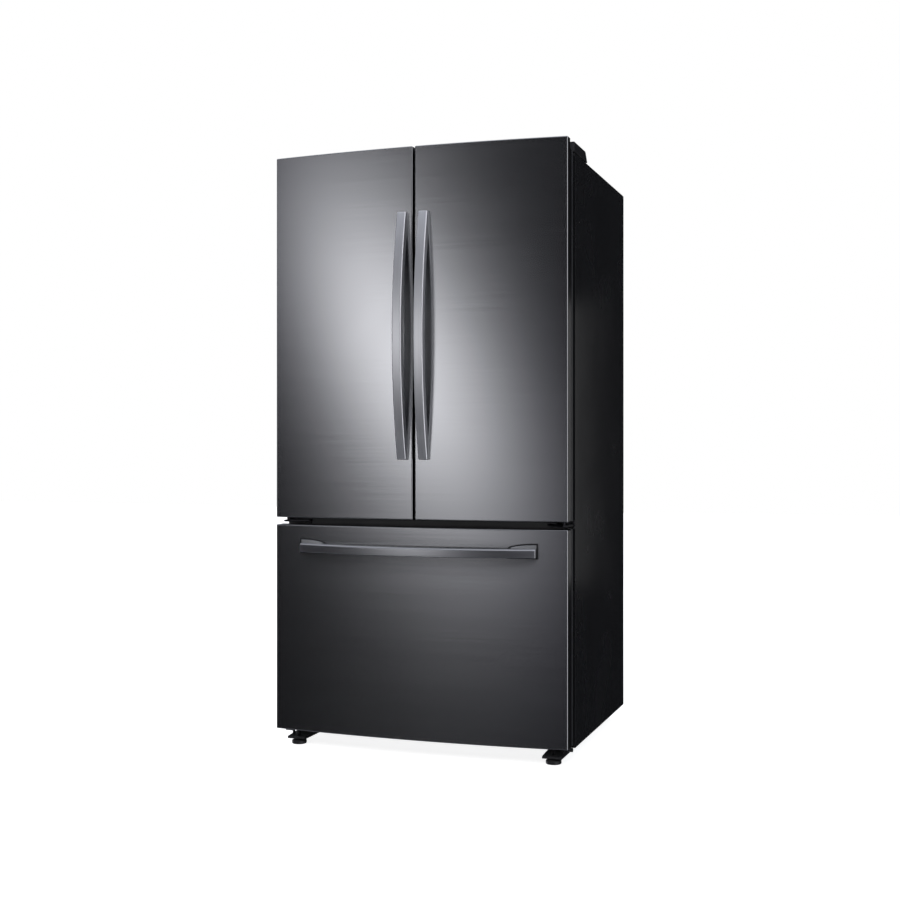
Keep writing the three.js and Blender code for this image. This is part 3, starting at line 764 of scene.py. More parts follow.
@dataclass(frozen=True)
class MouldedPlastic(Finish):
    """Moulded plastic with the fine relief of its tool."""

    texture: float = 1400.0
    strength: float = 0.18
    sheen: float = 0.0
    dust: float = 0.06

    def dress(self, desk: NodeDesk, shader: bpy.types.Node, place: Socket) -> None:
        """Add tool relief, flow clouds, rubbed edges and a little dust.

        Args:
            desk: The material's desk.
            shader: Its Principled shader.
            place: Coordinates of the piece for its patterns.
        """
        cloud = desk.group("smudges", {"Vector": place, "Scale": 9.0}).outputs["Mask"]
        edges = desk.group("rubbed edges", {"Vector": place, "Radius": 0.6 * MM}).outputs["Mask"]
        dust = desk.group("dust", {"Vector": place}).outputs["Mask"]
        flow = desk.blend(cloud, self.tone(0.965), self.tone(1.03))
        worn = desk.blend(desk.maths("MULTIPLY", edges, 0.2), flow, self.tone(1.5))
        dusty = desk.blend(desk.maths("MULTIPLY", dust, self.dust), worn, PALE_DUST)
        desk.tree.links.new(dusty, shader.inputs["Base Color"])
        rough = desk.maths("MULTIPLY_ADD", cloud, 0.06, self.roughness)
        desk.tree.links.new(rough, shader.inputs["Roughness"])
        shader.inputs["Sheen Weight"].default_value = self.sheen
        pebbles = desk.group("pebbles", {"Vector": place, "Scale": self.texture})
        self.relief(desk, shader, pebbles.outputs["Height"], self.strength, 0.06 * MM)


@dataclass(frozen=True)
class ClearMoulding(Finish):
    """Clear plastic or glass that lets light straight through."""

    alpha: float = 0.3
    transmission: float = 0.0

    def dress(self, desk: NodeDesk, shader: bpy.types.Node, place: Socket) -> None:
        """Add faint wiping marks that cloud the clear wall.

        Args:
            desk: The material's desk.
            shader: Its Principled shader.
            place: Coordinates of the piece for its patterns.
        """
        smudge = desk.group("smudges", {"Vector": place, "Scale": 6.0}).outputs["Mask"]
        rough = desk.maths("MULTIPLY_ADD", smudge, 0.06, self.roughness)
        desk.tree.links.new(rough, shader.inputs["Roughness"])
        veil = desk.maths("MULTIPLY_ADD", smudge, 0.06, self.alpha)
        desk.tree.links.new(veil, shader.inputs["Alpha"])
        tint = desk.blend(smudge, self.tone(0.97), self.tone(1.02))
        desk.tree.links.new(tint, shader.inputs["Base Color"])
        shader.inputs["Transmission Weight"].default_value = self.transmission
        shader.inputs["IOR"].default_value = 1.5
        waves = desk.put("ShaderNodeTexNoise", {"Vector": place, "Scale": 14.0, "Detail": 2.0})
        self.relief(desk, shader, waves.outputs["Fac"], 0.05, 0.4 * MM)


@dataclass(frozen=True)
class FoamedFill(Finish):
    """Rigid foam with open pores."""

    def dress(self, desk: NodeDesk, shader: bpy.types.Node, place: Socket) -> None:
        """Add pores to colour and relief.

        Args:
            desk: The material's desk.
            shader: Its Principled shader.
            place: Coordinates of the piece for its patterns.
        """
        pores = desk.put("ShaderNodeTexVoronoi", {"Vector": place, "Scale": 260.0}).outputs["Distance"]
        colour = desk.blend(desk.spread(pores, 0.0, 1.0, 0.1, 0.6), self.tone(0.75), self.tone(1.1))
        desk.tree.links.new(colour, shader.inputs["Base Color"])
        self.relief(desk, shader, pores, 0.5, 0.6 * MM)


DARK_STEEL = (0.348, 0.351, 0.356)
LEVEL = 0.25
DOOR_STEEL = BrushedSteel("dark brushed steel", "door_steel", DARK_STEEL, 0.20, turn=LEVEL)
# The drawer's steel carries painted shadow under its handle, reaching 80 mm.
DRAWER_STEEL = BrushedSteel(
    "dark brushed steel of the drawer", "door_steel", DARK_STEEL, 0.20, turn=LEVEL, shelter=80 * MM,
)
DRAWER_GRIP_STEEL = BrushedSteel(
    "drawer handle steel", "handle_steel", (0.48, 0.484, 0.492), 0.32, turn=LEVEL,
)
GRIP_STEEL = BrushedSteel("door handle steel", "handle_steel", (0.84, 0.845, 0.855), 0.38, Grain.UPRIGHT)
CABINET_PAINT = PaintedSteel(
    "cabinet paint", "cabinet_paint", (0.0105, 0.0108, 0.0118), 0.24, depth=0.03 * MM,
)
BLACK_PAINT = PaintedSteel("black paint", "black_paint", (0.010, 0.010, 0.011), 0.38)
COMPRESSOR_PAINT = PaintedSteel("compressor paint", "black_paint", (0.012, 0.012, 0.013), 0.3, 400.0)
ZINC = ZincSheet("galvanised steel", "zinc_steel", (0.55, 0.56, 0.57), 0.38, metallic=0.45)
BLACK_ZINC = ZincSheet("blackened zinc", "zinc_steel", (0.035, 0.035, 0.038), 0.4, 900.0)
PLATED = ZincSheet("plated steel", "zinc_steel", (0.62, 0.62, 0.61), 0.26, 900.0)
COPPER = ZincSheet("copper tube", "zinc_steel", (0.72, 0.36, 0.22), 0.3, 500.0)
BLACK_PLASTIC = MouldedPlastic("black plastic", "black_plastic", (0.008, 0.008, 0.009), 0.45)
FRAME_PLASTIC = MouldedPlastic("frame plastic", "door_frame_plastic", (0.026, 0.027, 0.030), 0.45)
WHITE_PLASTIC = MouldedPlastic(
    "white liner plastic", "liner_plastic", (0.80, 0.81, 0.81), 0.32, 700.0, 0.08, dust=0.0,
)
RUBBER = MouldedPlastic("seal rubber", "gasket_rubber", (0.020, 0.0205, 0.0215), 0.62, 2200.0, 0.3, 0.25)
LAMP = ClearMoulding("lamp diffuser", "clear_plastic", (0.95, 0.96, 0.95), 0.4, 0.9)
CLEAR = ClearMoulding("clear styrene", "clear_plastic", (0.80, 0.86, 0.89), 0.08, 0.26)
GLASS = ClearMoulding("tempered glass", "shelf_glass", (0.74, 0.88, 0.84), 0.03, 0.5, 0.8)
FOAM = FoamedFill("insulation foam", "foam", (0.77, 0.62, 0.28), 0.9)


# ---------------------------------------------------------------- studio


@dataclass
class Glow:
    """A soft patch of light in the room around the object, placed by its direction."""

    azimuth: float
    height: float
    wide: float
    tall: float
    strength: float
    slant: float = 0.0

    def build(self, desk: NodeDesk, azimuth: Any, height: Any) -> Socket:
        """The patch's strength in every direction.

        Args:
            desk: The room's desk.
            azimuth: Socket with the azimuth in degrees, 0 in front of the doors and 90 to their right.
            height: Socket with the height above the horizon in degrees.

        Returns:
            The strength.
        """
        rise = desk.maths("SUBTRACT", height, self.height)
        aside = desk.maths("MULTIPLY_ADD", rise, self.slant, azimuth)
        across = desk.maths("DIVIDE", desk.maths("SUBTRACT", aside, self.azimuth), self.wide)
        along = desk.maths("DIVIDE", rise, self.tall)
        square = desk.maths("ADD", desk.maths("POWER", across, 2.0), desk.maths("POWER", along, 2.0))
        fall = desk.maths("EXPONENT", desk.maths("MULTIPLY", square, -0.5))
        return desk.maths("MULTIPLY", fall, self.strength)


@dataclass
class Softbox:
    """A soft lamp, unseen by the camera."""

    name: str
    place: Point
    size: tuple[float, float]
    watts: float
    target: Point = (0.0, 0.0, 0.95)
    mirrored: bool = False

    def build(self) -> None:
        """Hang the lamp and turn it to its target."""
        lamp = bpy.data.lights.new(self.name, "AREA")
        lamp.shape = "RECTANGLE"
        lamp.size, lamp.size_y = self.size
        lamp.energy = self.watts
        holder = bpy.data.objects.new(self.name, lamp)
        holder.location = self.place
        aim = Vector(self.target) - Vector(self.place)
        holder.rotation_euler = aim.to_track_quat("-Z", "Y").to_euler()
        holder.visible_camera = False
        holder.visible_glossy = self.mirrored
        bpy.context.scene.collection.objects.link(holder)


@dataclass
class Studio:
    """Camera, floor, lamps and the pale room."""

    eye: Point = (1.3496, -3.9324, 0.903)
    turn: float = 19.15
    lens: float = 52.44
    shift: float = -0.0036
    floor: float = 14.0
    backdrop: Colour = (1.0, 1.0, 1.0)
    tint: Colour = (0.95, 0.98, 1.09)
    penumbra: float = 0.06
    shade: float = 0.008
    ceiling: float = 0.5
    zenith: float = 0.75
    ground: float = 0.22
    nadir: float = 0.03
    ceiling_band: tuple[float, float] = (16.0, 38.0)
    zenith_band: tuple[float, float] = (40.0, 62.0)
    ground_band: tuple[float, float] = (-14.0, -34.0)
    nadir_band: tuple[float, float] = (-40.0, -60.0)
    floor_near: float = 0.8
    floor_far: float = 4.0
    floor_tone: float = 0.86
    glows: tuple[Glow, ...] = (
        Glow(-22.3, 3.95, 5.85, 4.05, 3.9, 1.6),
        Glow(62.0, 5.0, 14.5, 35.0, 1.9),
        Glow(-112.0, 5.0, 15.0, 35.0, 1.6),
    )
    softboxes: tuple[Softbox, ...] = (
        Softbox("softbox in front", (-1.2, -4.6, 3.4), (3.0, 2.0), 150.0),
        Softbox("softbox above", (0.3, -0.8, 5.2), (3.0, 2.0), 60.0),
        Softbox("softbox behind", (0.4, 4.6, 3.6), (3.0, 2.0), 70.0),
        Softbox("faint wall behind", (0.98, 0.8, 0.92), (0.42, 1.05), 0.36, (0.5, -0.4, 0.92), True),
    )

    def build(self) -> None:
        """Set up the whole studio."""
        self.build_camera()
        self.build_floor()
        self.build_room()
        for softbox in self.softboxes:
            softbox.build()

    def build_camera(self) -> None:
        """Place the camera level, a little above the middle of the object."""
        data = bpy.data.cameras.new("camera")
        data.lens = self.lens
        data.shift_y = self.shift
        camera = bpy.data.objects.new("camera", data)
        camera.location = self.eye
        camera.rotation_euler = (math.radians(90.0), 0.0, math.radians(self.turn))
        bpy.context.scene.collection.objects.link(camera)
        bpy.context.scene.camera = camera
        bpy.context.scene.view_settings.view_transform = "Standard"

    def build_floor(self) -> None:
        """Lay the pale floor, which mirrors in nothing."""
        bm = bmesh.new()
        bmesh.ops.create_grid(bm, x_segments=1, y_segments=1, size=self.floor)
        mesh = bpy.data.meshes.new("floor")
        bm.to_mesh(mesh)
        bm.free()
        material = bpy.data.materials.new("pale floor")
        material.use_nodes = True
        desk = NodeDesk(material.node_tree)
        shader = material.node_tree.nodes["Principled BSDF"]
        shader.inputs["Base Color"].default_value = (0.5, 0.5, 0.5, 1.0)
        shader.inputs["Roughness"].default_value = 0.9
        seen = desk.put("ShaderNodeLightPath").outputs["Is Camera Ray"]
        far = desk.put("ShaderNodeVectorMath", {0: desk.place()}, operation="LENGTH").outputs["Value"]
        pale = desk.spread(far, self.floor_tone, 1.0, self.floor_near, self.floor_far)
        desk.tree.links.new(desk.maths("MULTIPLY", seen, pale), shader.inputs["Emission Strength"])
        shader.inputs["Emission Color"].default_value = (1.0, 1.0, 1.0, 1.0)
        mesh.materials.append(material)
        floor = bpy.data.objects.new("floor", mesh)
        floor.visible_glossy = False
        bpy.context.scene.collection.objects.link(floor)

    def build_room(self) -> None:
        """Surround the object with a dark room of soft glows, pale to the camera."""
        world = bpy.data.worlds.new("studio room")
        world.use_nodes = True
        bpy.context.scene.world = world
        desk = NodeDesk(world.node_tree)
        direction = desk.put("ShaderNodeTexCoord").outputs["Generated"]
        parts = desk.put("ShaderNodeSeparateXYZ", {0: direction}).outputs
        backward = desk.maths("MULTIPLY", parts["Y"], -1.0)
        azimuth = desk.maths("DEGREES", desk.maths("ARCTAN2", parts["X"], backward))
        height = desk.maths("DEGREES", desk.maths("ARCSINE", parts["Z"]))
        ceiling = desk.smooth(height, self.ceiling, *self.ceiling_band)
        above = desk.smooth(height, self.zenith - self.ceiling, *self.zenith_band)
        ground = desk.smooth(height, self.ground, *self.ground_band)
        below = desk.smooth(height, self.nadir - self.ground, *self.nadir_band)
        base = self.shade
        for part in (ceiling, above, ground, below):
            base = desk.maths("ADD", base, part)
        total = 0.0
        for glow in self.glows:
            total = desk.maths("ADD", total, glow.build(desk, azimuth, height))
        seen = desk.put("ShaderNodeLightPath").outputs["Is Camera Ray"]
        background = world.node_tree.nodes["Background"]
        cool = desk.maths("MULTIPLY_ADD", desk.maths("SQRT", total), self.penumbra, total)
        lobes = (total, total, cool)
        channels = [desk.maths("MULTIPLY_ADD", base, tint, lobe) for tint, lobe in zip(self.tint, lobes)]
        dark = desk.put("ShaderNodeCombineColor", dict(enumerate(channels)))
        colour = desk.blend(seen, dark.outputs[0], (*self.backdrop, 1.0))
        desk.tree.links.new(colour, background.inputs["Color"])


# ---------------------------------------------------------------- bowed front


@dataclass
class BowedFront:
    """The shallow arc that runs across both doors and the drawer."""

    half: float
    apex: float
    bow: float = 25.0 * MM

    @property
    def radius(self) -> float:
        """Radius of the arc."""
        return (self.half**2 + self.bow**2) / (2 * self.bow)

    def y_at(self, x: float) -> float:
        """Where the front lies at x."""
        return self.apex + self.radius - math.sqrt(self.radius**2 - x * x)

    @classmethod
    def of_frame(cls) -> "BowedFront":
        """The arc that the drawer's skin has in the frame."""
        low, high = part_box("drawer_skin")
        return cls(half=high.x, apex=low.y)


@dataclass
class FrontPanel:
    """A folded steel skin whose face follows the bowed front."""

    front: BowedFront
    node: str
    body: str
    side: Side | None = None
    edge: float = 3.4 * MM
    hem: float = 2.2 * MM
    notch_x: float = 379 * MM
    notch_y: float = -320 * MM
    notch_z: float = 1746 * MM
    facet: float = 28 * MM

    def build(self) -> bpy.types.Object:
        """Spin the face, fold its returns, round its edges and give it its sheet.

        Returns:
            The skin.
        """
        low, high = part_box(self.node)
        work = Workpiece()
        bm = work.bm
        radius = self.front.radius
        start, end = (math.asin(x / radius) for x in (low.x, high.x))
        centre = (0.0, self.front.apex + radius, 0.0)
        corner = (low.x, self.front.y_at(low.x))
        ends = [bm.verts.new((*corner, z)) for z in (low.z, high.z)]
        upright = bm.edges.new(ends)
        steps = round((high.x - low.x) / self.facet)
        bmesh.ops.spin(
            bm, geom=[*ends, upright], cent=centre, axis=(0, 0, 1), angle=end - start, steps=steps,
            use_merge=False,
        )
        rim = [e for e in bm.edges if e.is_boundary]
        returns = bmesh.ops.extrude_edge_only(bm, edges=rim)["geom"]
        for vert in only(returns, BMVert):
            vert.co.y = high.y - self.hem
        bmesh.ops.recalc_face_normals(bm, faces=bm.faces[:])
        if sum(f.normal.y for f in bm.faces if abs(f.normal.y) > 0.9) > 0:
            bmesh.ops.reverse_faces(bm, faces=bm.faces[:])
        work.soften(self.edge, 6, 45.0)
        if self.side:
            self.cut_notch(work)
        free = [e for e in bm.edges if e.is_boundary]
        hemmed = bmesh.ops.extrude_edge_only(bm, edges=free)["geom"]
        bmesh.ops.translate(bm, vec=(0.0, self.hem, 0.0), verts=only(hemmed, BMVert))
        finish = DOOR_STEEL if self.side else DRAWER_STEEL
        piece = work.done(f"{self.node}_sheet", self.body, finish, self.node, angle=40.0)
        return walled(piece, SHEET)

    def cut_notch(self, work: Workpiece) -> None:
        """Open the upper outer corner of the returns for the top hinge.

        Args:
            work: The skin on the bench.
        """
        x = self.side.value * self.notch_x
        planes = (
            ((x, 0, 0), (1, 0, 0)),
            ((0, self.notch_y, 0), (0, 1, 0)),
            ((0, 0, self.notch_z), (0, 0, 1)),
        )
        for spot, normal in planes:
            returns = [f for f in work.bm.faces if f.normal.y > -0.05]
            edges = {e for f in returns for e in f.edges}
            verts = {v for f in returns for v in f.verts}
            geom = [*verts, *edges, *returns]
            bmesh.ops.bisect_plane(work.bm, geom=geom, dist=1e-6, plane_co=spot, plane_no=normal)

        def in_notch(face: BMFace) -> bool:
            """Whether a face lies in the hinge's space.

            Args:
                face: The face.

            Returns:
                True where the face goes.
            """
            middle = face.calc_center_median()
            aside = middle.x * self.side.value > self.notch_x
            return aside and middle.y > self.notch_y and middle.z > self.notch_z

        work.drop_faces(in_notch)


@dataclass
class BarHandle:
    """A bowed bar that stands off most in its middle and lies on its pads at both ends."""

    thick: float = 23 * MM
    end_stand: float = 14 * MM
    pad: float = 60 * MM
    clearance: float = 0.3 * MM
    rounding: float = 3.2 * MM
    slices: int = 44

    def faces_at(self, along: float, half: float, stand: float) -> tuple[float, float]:
        """How far the bar's front and back stand off the panel.

        Args:
            along: Distance from the bar's middle.
            half: Half of its length.
            stand: How far its front stands off in the middle.

        Returns:
            The front's and the back's stand.
        """
        sag = stand - self.end_stand
        radius = (half**2 + sag**2) / (2 * sag)
        front = stand - (radius - math.sqrt(radius**2 - along**2))
        reach = half - self.pad
        hollow = stand - self.thick
        if abs(along) >= reach:
            return front, self.clearance
        arc = (reach**2 + hollow**2) / (2 * hollow)
        back = hollow - (arc - math.sqrt(arc**2 - along**2))
        return front, max(back, self.clearance)


@dataclass
class DoorHandle(BarHandle):
    """The upright handle of one door."""

    def build(self, front: BowedFront, side: Side) -> None:
        """Shape the bar from a block and round its edges.

        Args:
            front: The bowed front that it stands on.
            side: The door's side.
        """
        node = f"{side.label}_door_handle"
        low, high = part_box(node)
        seat = front.y_at(min(abs(low.x), abs(high.x)))
        middle, half = (low.z + high.z) / 2, (high.z - low.z) / 2
        work = Workpiece()
        work.block((low.x, -1.0, low.z), (high.x, 1.0, high.z))
        work.slice_along(2, low.z, high.z, self.slices)

        def bowed(spot: Vector) -> Vector:
            """Bring a vertex to the front or the back of the bar.

            Args:
                spot: Where the vertex is.

            Returns:
                Where it goes.
            """
            face, back = self.faces_at(spot.z - middle, half, seat - low.y)
            return Vector((spot.x, seat - (face if spot.y < 0 else back), spot.z))

        work.shape(bowed)
        work.soften(self.rounding, 4, 40.0)
        work.done(f"{node}_bar", f"{side.label}_door", GRIP_STEEL, node)


@dataclass
class DrawerHandle(BarHandle):
    """The level handle of the drawer, with an arched plate behind each of its ends."""

    plate_length: float = 76 * MM
    plate_rise: float = 11.0 * MM
    plate_thick: float = 3.4 * MM
    # rim and the thickness below size a black sheet behind the plates, which paints the gap's shadow round
    # them as a dark line.
    rim: float = 4.6 * MM
    rim_thick: float = 1.6 * MM
    bar_low: float = 590 * MM
    bar_high: float = 616 * MM
    crown: float = 6.5 * MM
    edge: float = 1.6 * MM
    plate_edge: float = 0.8 * MM
    plate_slices: int = 18
    overlap: float = 1.0 * MM

    def build(self, front: BowedFront) -> None:
        """Shape the bar, its plates and the black sheets behind them, which stand in for the shadow in the
        gap round the plates as a dark line.

        Args:
            front: The bowed front that it stands on.
        """
        low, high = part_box("drawer_handle")
        half = high.x - self.overlap
        work = Workpiece()
        work.block((-half, -1.0, 0.0), (half, 1.0, 1.0))
        work.slice_along(0, -half, half, 2 * self.slices)
        crown = [e for e in work.bm.edges if all(v.co.y < 0.0 and v.co.z > 0.5 for v in e.verts)]

        def bowed(spot: Vector) -> Vector:
            """Bring a vertex to its place on the bar.

            Args:
                spot: Where the vertex is.

            Returns:
                Where it goes.
            """
            face, back = self.faces_at(spot.x, half, front.y_at(0.0) - low.y)
            stand = face if spot.y < 0 else max(back, self.rim_thick)
            z = self.bar_high if spot.z > 0.5 else self.bar_low
            return Vector((spot.x, front.y_at(spot.x) - stand, z))

        work.shape(bowed)
        round_edges(work.bm, crown, self.crown, 6)
        work.soften(self.edge, 3, 40.0)
        work.done("drawer_handle_bar", "freezer_drawer", DRAWER_GRIP_STEEL, "drawer_handle")
        plates = self.arched(front, half, 0.0, self.rim_thick, self.plate_thick)
        plates.soften(self.plate_edge, 2, 40.0)
        plates.done("drawer_handle_plates", "freezer_drawer", DRAWER_GRIP_STEEL)
        # Painted shadow: a black sheet a little larger than the plates shows as a dark line round them.
        rims = self.arched(front, half, self.rim, self.clearance, self.rim_thick)
        rims.done("drawer_handle_rims", "freezer_drawer", BLACK_PLASTIC)

    def arched(self, front: BowedFront, half: float, grow: float, back: float, face: float) -> Workpiece:
        """Both plates, whose upper edges rise along a quarter of an ellipse towards the ends.

        Args:
            front: The panel's front.
            half: Half of the bar's length.
            grow: How much larger the plate is than the steel one.
            back: How far its back stands off the panel.
            face: How far its face does.

        Returns:
            The plates on the bench.
        """
        both = Workpiece()
        inner = half - self.plate_length - 2 * grow
        for side in Side:
            x0, x1 = sorted((side.value * inner, side.value * (half + grow)))
            part = Workpiece()
            part.block((x0, -1.0, 0.0), (x1, 1.0, 1.0))
            part.slice_along(0, x0, x1, self.plate_slices)

            def seated(spot: Vector) -> Vector:
                """Bring a vertex to its place on the plate.

                Args:
                    spot: Where the vertex is.

                Returns:
                    Where it goes.
                """
                share = (abs(spot.x) - inner) / (half + grow - inner)
                rise = (self.plate_rise + grow) * math.sqrt(max(0.0, 1.0 - (1.0 - share) ** 2))
                top, sole = self.bar_high - self.overlap + rise, self.bar_low + self.overlap - grow
                stand = back if spot.y > 0 else face
                return Vector((spot.x, front.y_at(spot.x) - stand, top if spot.z > 0.5 else sole))

            part.shape(seated)
            both.take(part.bm)
        return both


# ---------------------------------------------------------------- doors and drawer


@dataclass
class Gasket:
    """A magnet seal with a bellows between its foot and its magnet strip."""

    node: str
    body: str
    width: float = 16 * MM
    fold: float = 2.6 * MM
    folds: tuple[tuple[float, float], ...] = (
        (0.0, 0.6), (0.12, 0.6), (0.2, 1.0), (0.32, 0.2), (0.44, 1.0), (0.56, 0.2), (0.66, 0.9), (0.72, 0.0),
    )

    def build(self) -> None:
        """Bridge rectangles of alternating width from the foot to the magnet strip."""
        low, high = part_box(self.node)
        depth = high.y - low.y
        levels = []
        for share, fold in self.folds:
            tuck = self.fold * fold
            levels.append((low.y + share * depth, tuck, self.width - tuck))
        levels.append((high.y, 0.0, self.width))
        work = Workpiece()
        work.ring(levels, (low.x, low.z), (high.x, high.z))
        work.soften(0.5 * MM, 2, 25.0)
        work.done(f"{self.node}_bellows", self.body, RUBBER, self.node, angle=60.0)


@dataclass
class InnerPanel:
    """The white inner panel of a door, with its raised ring for the bins."""

    side: Side
    thickness: float = 1.2 * MM
    ring_inner: float = 50 * MM
    ring_outer: float = 388 * MM
    ring_wall: float = 30 * MM
    ring_rear: float = -205 * MM
    ring_low: float = 760 * MM
    ring_high: float = 1680 * MM
    slope: float = 4 * MM
    rounding: float = 7 * MM

    def build(self) -> None:
        """Draw the ring out of a flat sheet and round it as a thermoforming is."""
        low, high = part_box(f"{self.side.label}_door_gasket")
        x0, x1 = sorted((self.side.value * self.ring_inner, self.side.value * self.ring_outer))
        y = low.y + SEAL_GAP
        work = Workpiece()
        bm = work.bm
        outer = rectangle_loop(bm, (low.x, low.z), (high.x, high.z), SEAL_MARGIN, y)
        ring = (x0, self.ring_low), (x1, self.ring_high)
        foot = rectangle_loop(bm, *ring, 0.0, y)
        crest = rectangle_loop(bm, *ring, self.slope, self.ring_rear)
        drop = rectangle_loop(bm, *ring, self.ring_wall - self.slope, self.ring_rear)
        sole = rectangle_loop(bm, *ring, self.ring_wall, y)
        for first, second in ((outer, foot), (foot, crest), (crest, drop), (drop, sole)):
            bmesh.ops.bridge_loops(bm, edges=first + second)
        bmesh.ops.contextual_create(bm, geom=sole)
        bmesh.ops.recalc_face_normals(bm, faces=bm.faces[:])
        if sum(f.normal.y * f.calc_area() for f in bm.faces) < 0:
            bmesh.ops.reverse_faces(bm, faces=bm.faces[:])
        work.soften(self.rounding, 4, 30.0)
        piece = work.done(f"{self.side.label}_door_inner_panel", f"{self.side.label}_door", WHITE_PLASTIC)
        walled(piece, self.thickness)


@dataclass
class DoorBin:
    """A clear bin that hangs in a door's ring."""

    side: Side
    level: str
    wall: float = 2.5 * MM
    corner: float = 10 * MM
    draft: float = 4 * MM
    edge: float = 5 * MM
    trim_height: float = 20 * MM

    def build(self) -> None:
        """Mould the bin and its white front trim."""
        node = f"{self.side.label}_door_bin_{self.level}"
        body = f"{self.side.label}_door"
        low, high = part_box(node)
        moulded_tray(node + "_shell", body, CLEAR, (node,), low, high, self.wall, self.corner, self.draft)
        trim = Workpiece()
        start = (low.x + self.edge, high.y - self.edge, high.z - self.trim_height)
        trim.block(start, (high.x - self.edge, high.y, high.z - self.edge), 2 * MM)
        trim.done(f"{node}_trim", body, WHITE_PLASTIC)


def moulded_tray(
    name: str, body: str, finish: Finish, nodes: Sequence[str], low: Vector, high: Vector,
    wall: float, corner: float, draft: float,
) -> bpy.types.Object:
    """Mould an open-topped tray with rounded corners and sloped sides.

    Args:
        name: The piece's name.
        body: The body that it rides on.
        finish: Its finish.
        nodes: The CAD nodes that it stands for.
        low: Its lowest corner.
        high: Its highest corner.
        wall: Wall thickness.
        corner: Radius of its corners.
        draft: How far the floor is drawn in on every side.

    Returns:
        The tray.
    """
    work = Workpiece()
    work.block(low, high)
    middle = (low + high) / 2

    def drafted(spot: Vector) -> Vector:
        """Draw the floor's corners in.

        Args:
            spot: Where the vertex is.

        Returns:
            Where it goes.
        """
        if spot.z > middle.z:
            return spot
        towards = [math.copysign(draft, middle[axis] - spot[axis]) for axis in (0, 1)]
        return spot + Vector((*towards, 0.0))

    work.shape(drafted)
    work.drop_faces(lambda face: face.normal.z > 0.9)
    edges = [e for e in work.bm.edges if not e.is_boundary]
    round_edges(work.bm, edges, corner, 5)
    return walled(work.done(name, body, finish, *nodes), wall, 0.7 * MM)


@dataclass
class Door:
    """One door with its skin, frame, inner panel, seal, handle and bins."""

    front: BowedFront
    side: Side

    def build(self) -> None:
        """Build the door's pieces in order, from the outside in."""
        body = f"{self.side.label}_door"
        FrontPanel(self.front, f"{body}_skin", body, self.side).build()
        refined(f"{body}_liner", body, FRAME_PLASTIC, FRAME_EDGE, f"{body}_frame")
        InnerPanel(self.side).build()
        Gasket(f"{body}_gasket", body).build()
        DoorHandle().build(self.front, self.side)
        for level in ("upper", "lower"):
            DoorBin(self.side, level).build()


@dataclass
class Drawer:
    """The freezer drawer with its skin, frame, inner panel, seal, handle, bin and rails."""

    front: BowedFront
    body: str = "freezer_drawer"
    panel_wall: float = 1.2 * MM
    raised: float = 9 * MM
    rim: float = 5.5 * MM
    field_half: float = 372 * MM
    field_low: float = 118 * MM
    field_high: float = 415 * MM

    def build(self) -> None:
        """Build the drawer's pieces in order."""
        FrontPanel(self.front, "drawer_skin", self.body).build()
        refined("drawer_liner", self.body, FRAME_PLASTIC, FRAME_EDGE, "drawer_frame")
        self.build_inner_panel()
        Gasket("drawer_gasket", self.body).build()
        DrawerHandle().build(self.front)
        low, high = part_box("freezer_bin")
        low.x += self.rim
        high.x -= self.rim
        nodes, moulding = ("freezer_bin",), (3 * MM, 14 * MM, 6 * MM)
        moulded_tray("freezer_bin_shell", self.body, WHITE_PLASTIC, nodes, low, high, *moulding)
        self.build_bin_rims(low, high)
        for side in Side:
            refined(f"drawer_rail_{side.label}", self.body, PLATED, 0.6 * MM)

    def build_inner_panel(self) -> None:
        """Draw the white inner panel out of a sheet, with a stiffening field in its middle."""
        low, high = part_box("drawer_gasket")
        y = low.y + SEAL_GAP
        work = Workpiece()
        outer = rectangle_loop(work.bm, (low.x, low.z), (high.x, high.z), SEAL_MARGIN, y)
        field = (-self.field_half, self.field_low), (self.field_half, self.field_high)
        foot = rectangle_loop(work.bm, *field, -3 * MM, y)
        crest = rectangle_loop(work.bm, *field, 2 * MM, y + self.raised)
        for first, second in ((outer, foot), (foot, crest)):
            bmesh.ops.bridge_loops(work.bm, edges=first + second)
        bmesh.ops.contextual_create(work.bm, geom=crest)
        bmesh.ops.recalc_face_normals(work.bm, faces=work.bm.faces[:])
        if sum(f.normal.y * f.calc_area() for f in work.bm.faces) < 0:
            bmesh.ops.reverse_faces(work.bm, faces=work.bm.faces[:])
        work.soften(3 * MM, 4, 30.0)
        walled(work.done("drawer_inner_panel", self.body, WHITE_PLASTIC), self.panel_wall)

    def build_bin_rims(self, low: Vector, high: Vector) -> None:
        """Add the bin's rolled rims, which lie on the rails.

        Args:
            low: The bin's lowest corner.
            high: The bin's highest corner.
        """
        work = Workpiece()
        lap = 1.5 * MM
        for x0, x1 in ((low.x - self.rim, low.x + lap), (high.x - lap, high.x + self.rim)):
            work.block((x0, low.y + 2 * MM, high.z - 6 * MM), (x1, high.y - 2 * MM, high.z), 2 * MM)
        work.done("freezer_bin_rims", self.body, WHITE_PLASTIC)


def refined(
    node: str, body: str, finish: Finish, width: float, name: str | None = None,
) -> bpy.types.Object:
    """Replace a CAD node by a copy with clean faces and rounded edges.

    Args:
        node: The CAD node.
        body: The body that it rides on.
        finish: Its finish.
        width: Radius of the rounded edges.
        name: The piece's name, the node's with "_fine" where it is left out.

    Returns:
        The piece.
    """
    work = Workpiece()
    work.cad_copy(node)
    work.soften(width, 2, 30.0)
    return work.done(name or f"{node}_fine", body, finish, node)


# ---------------------------------------------------------------- cabinet


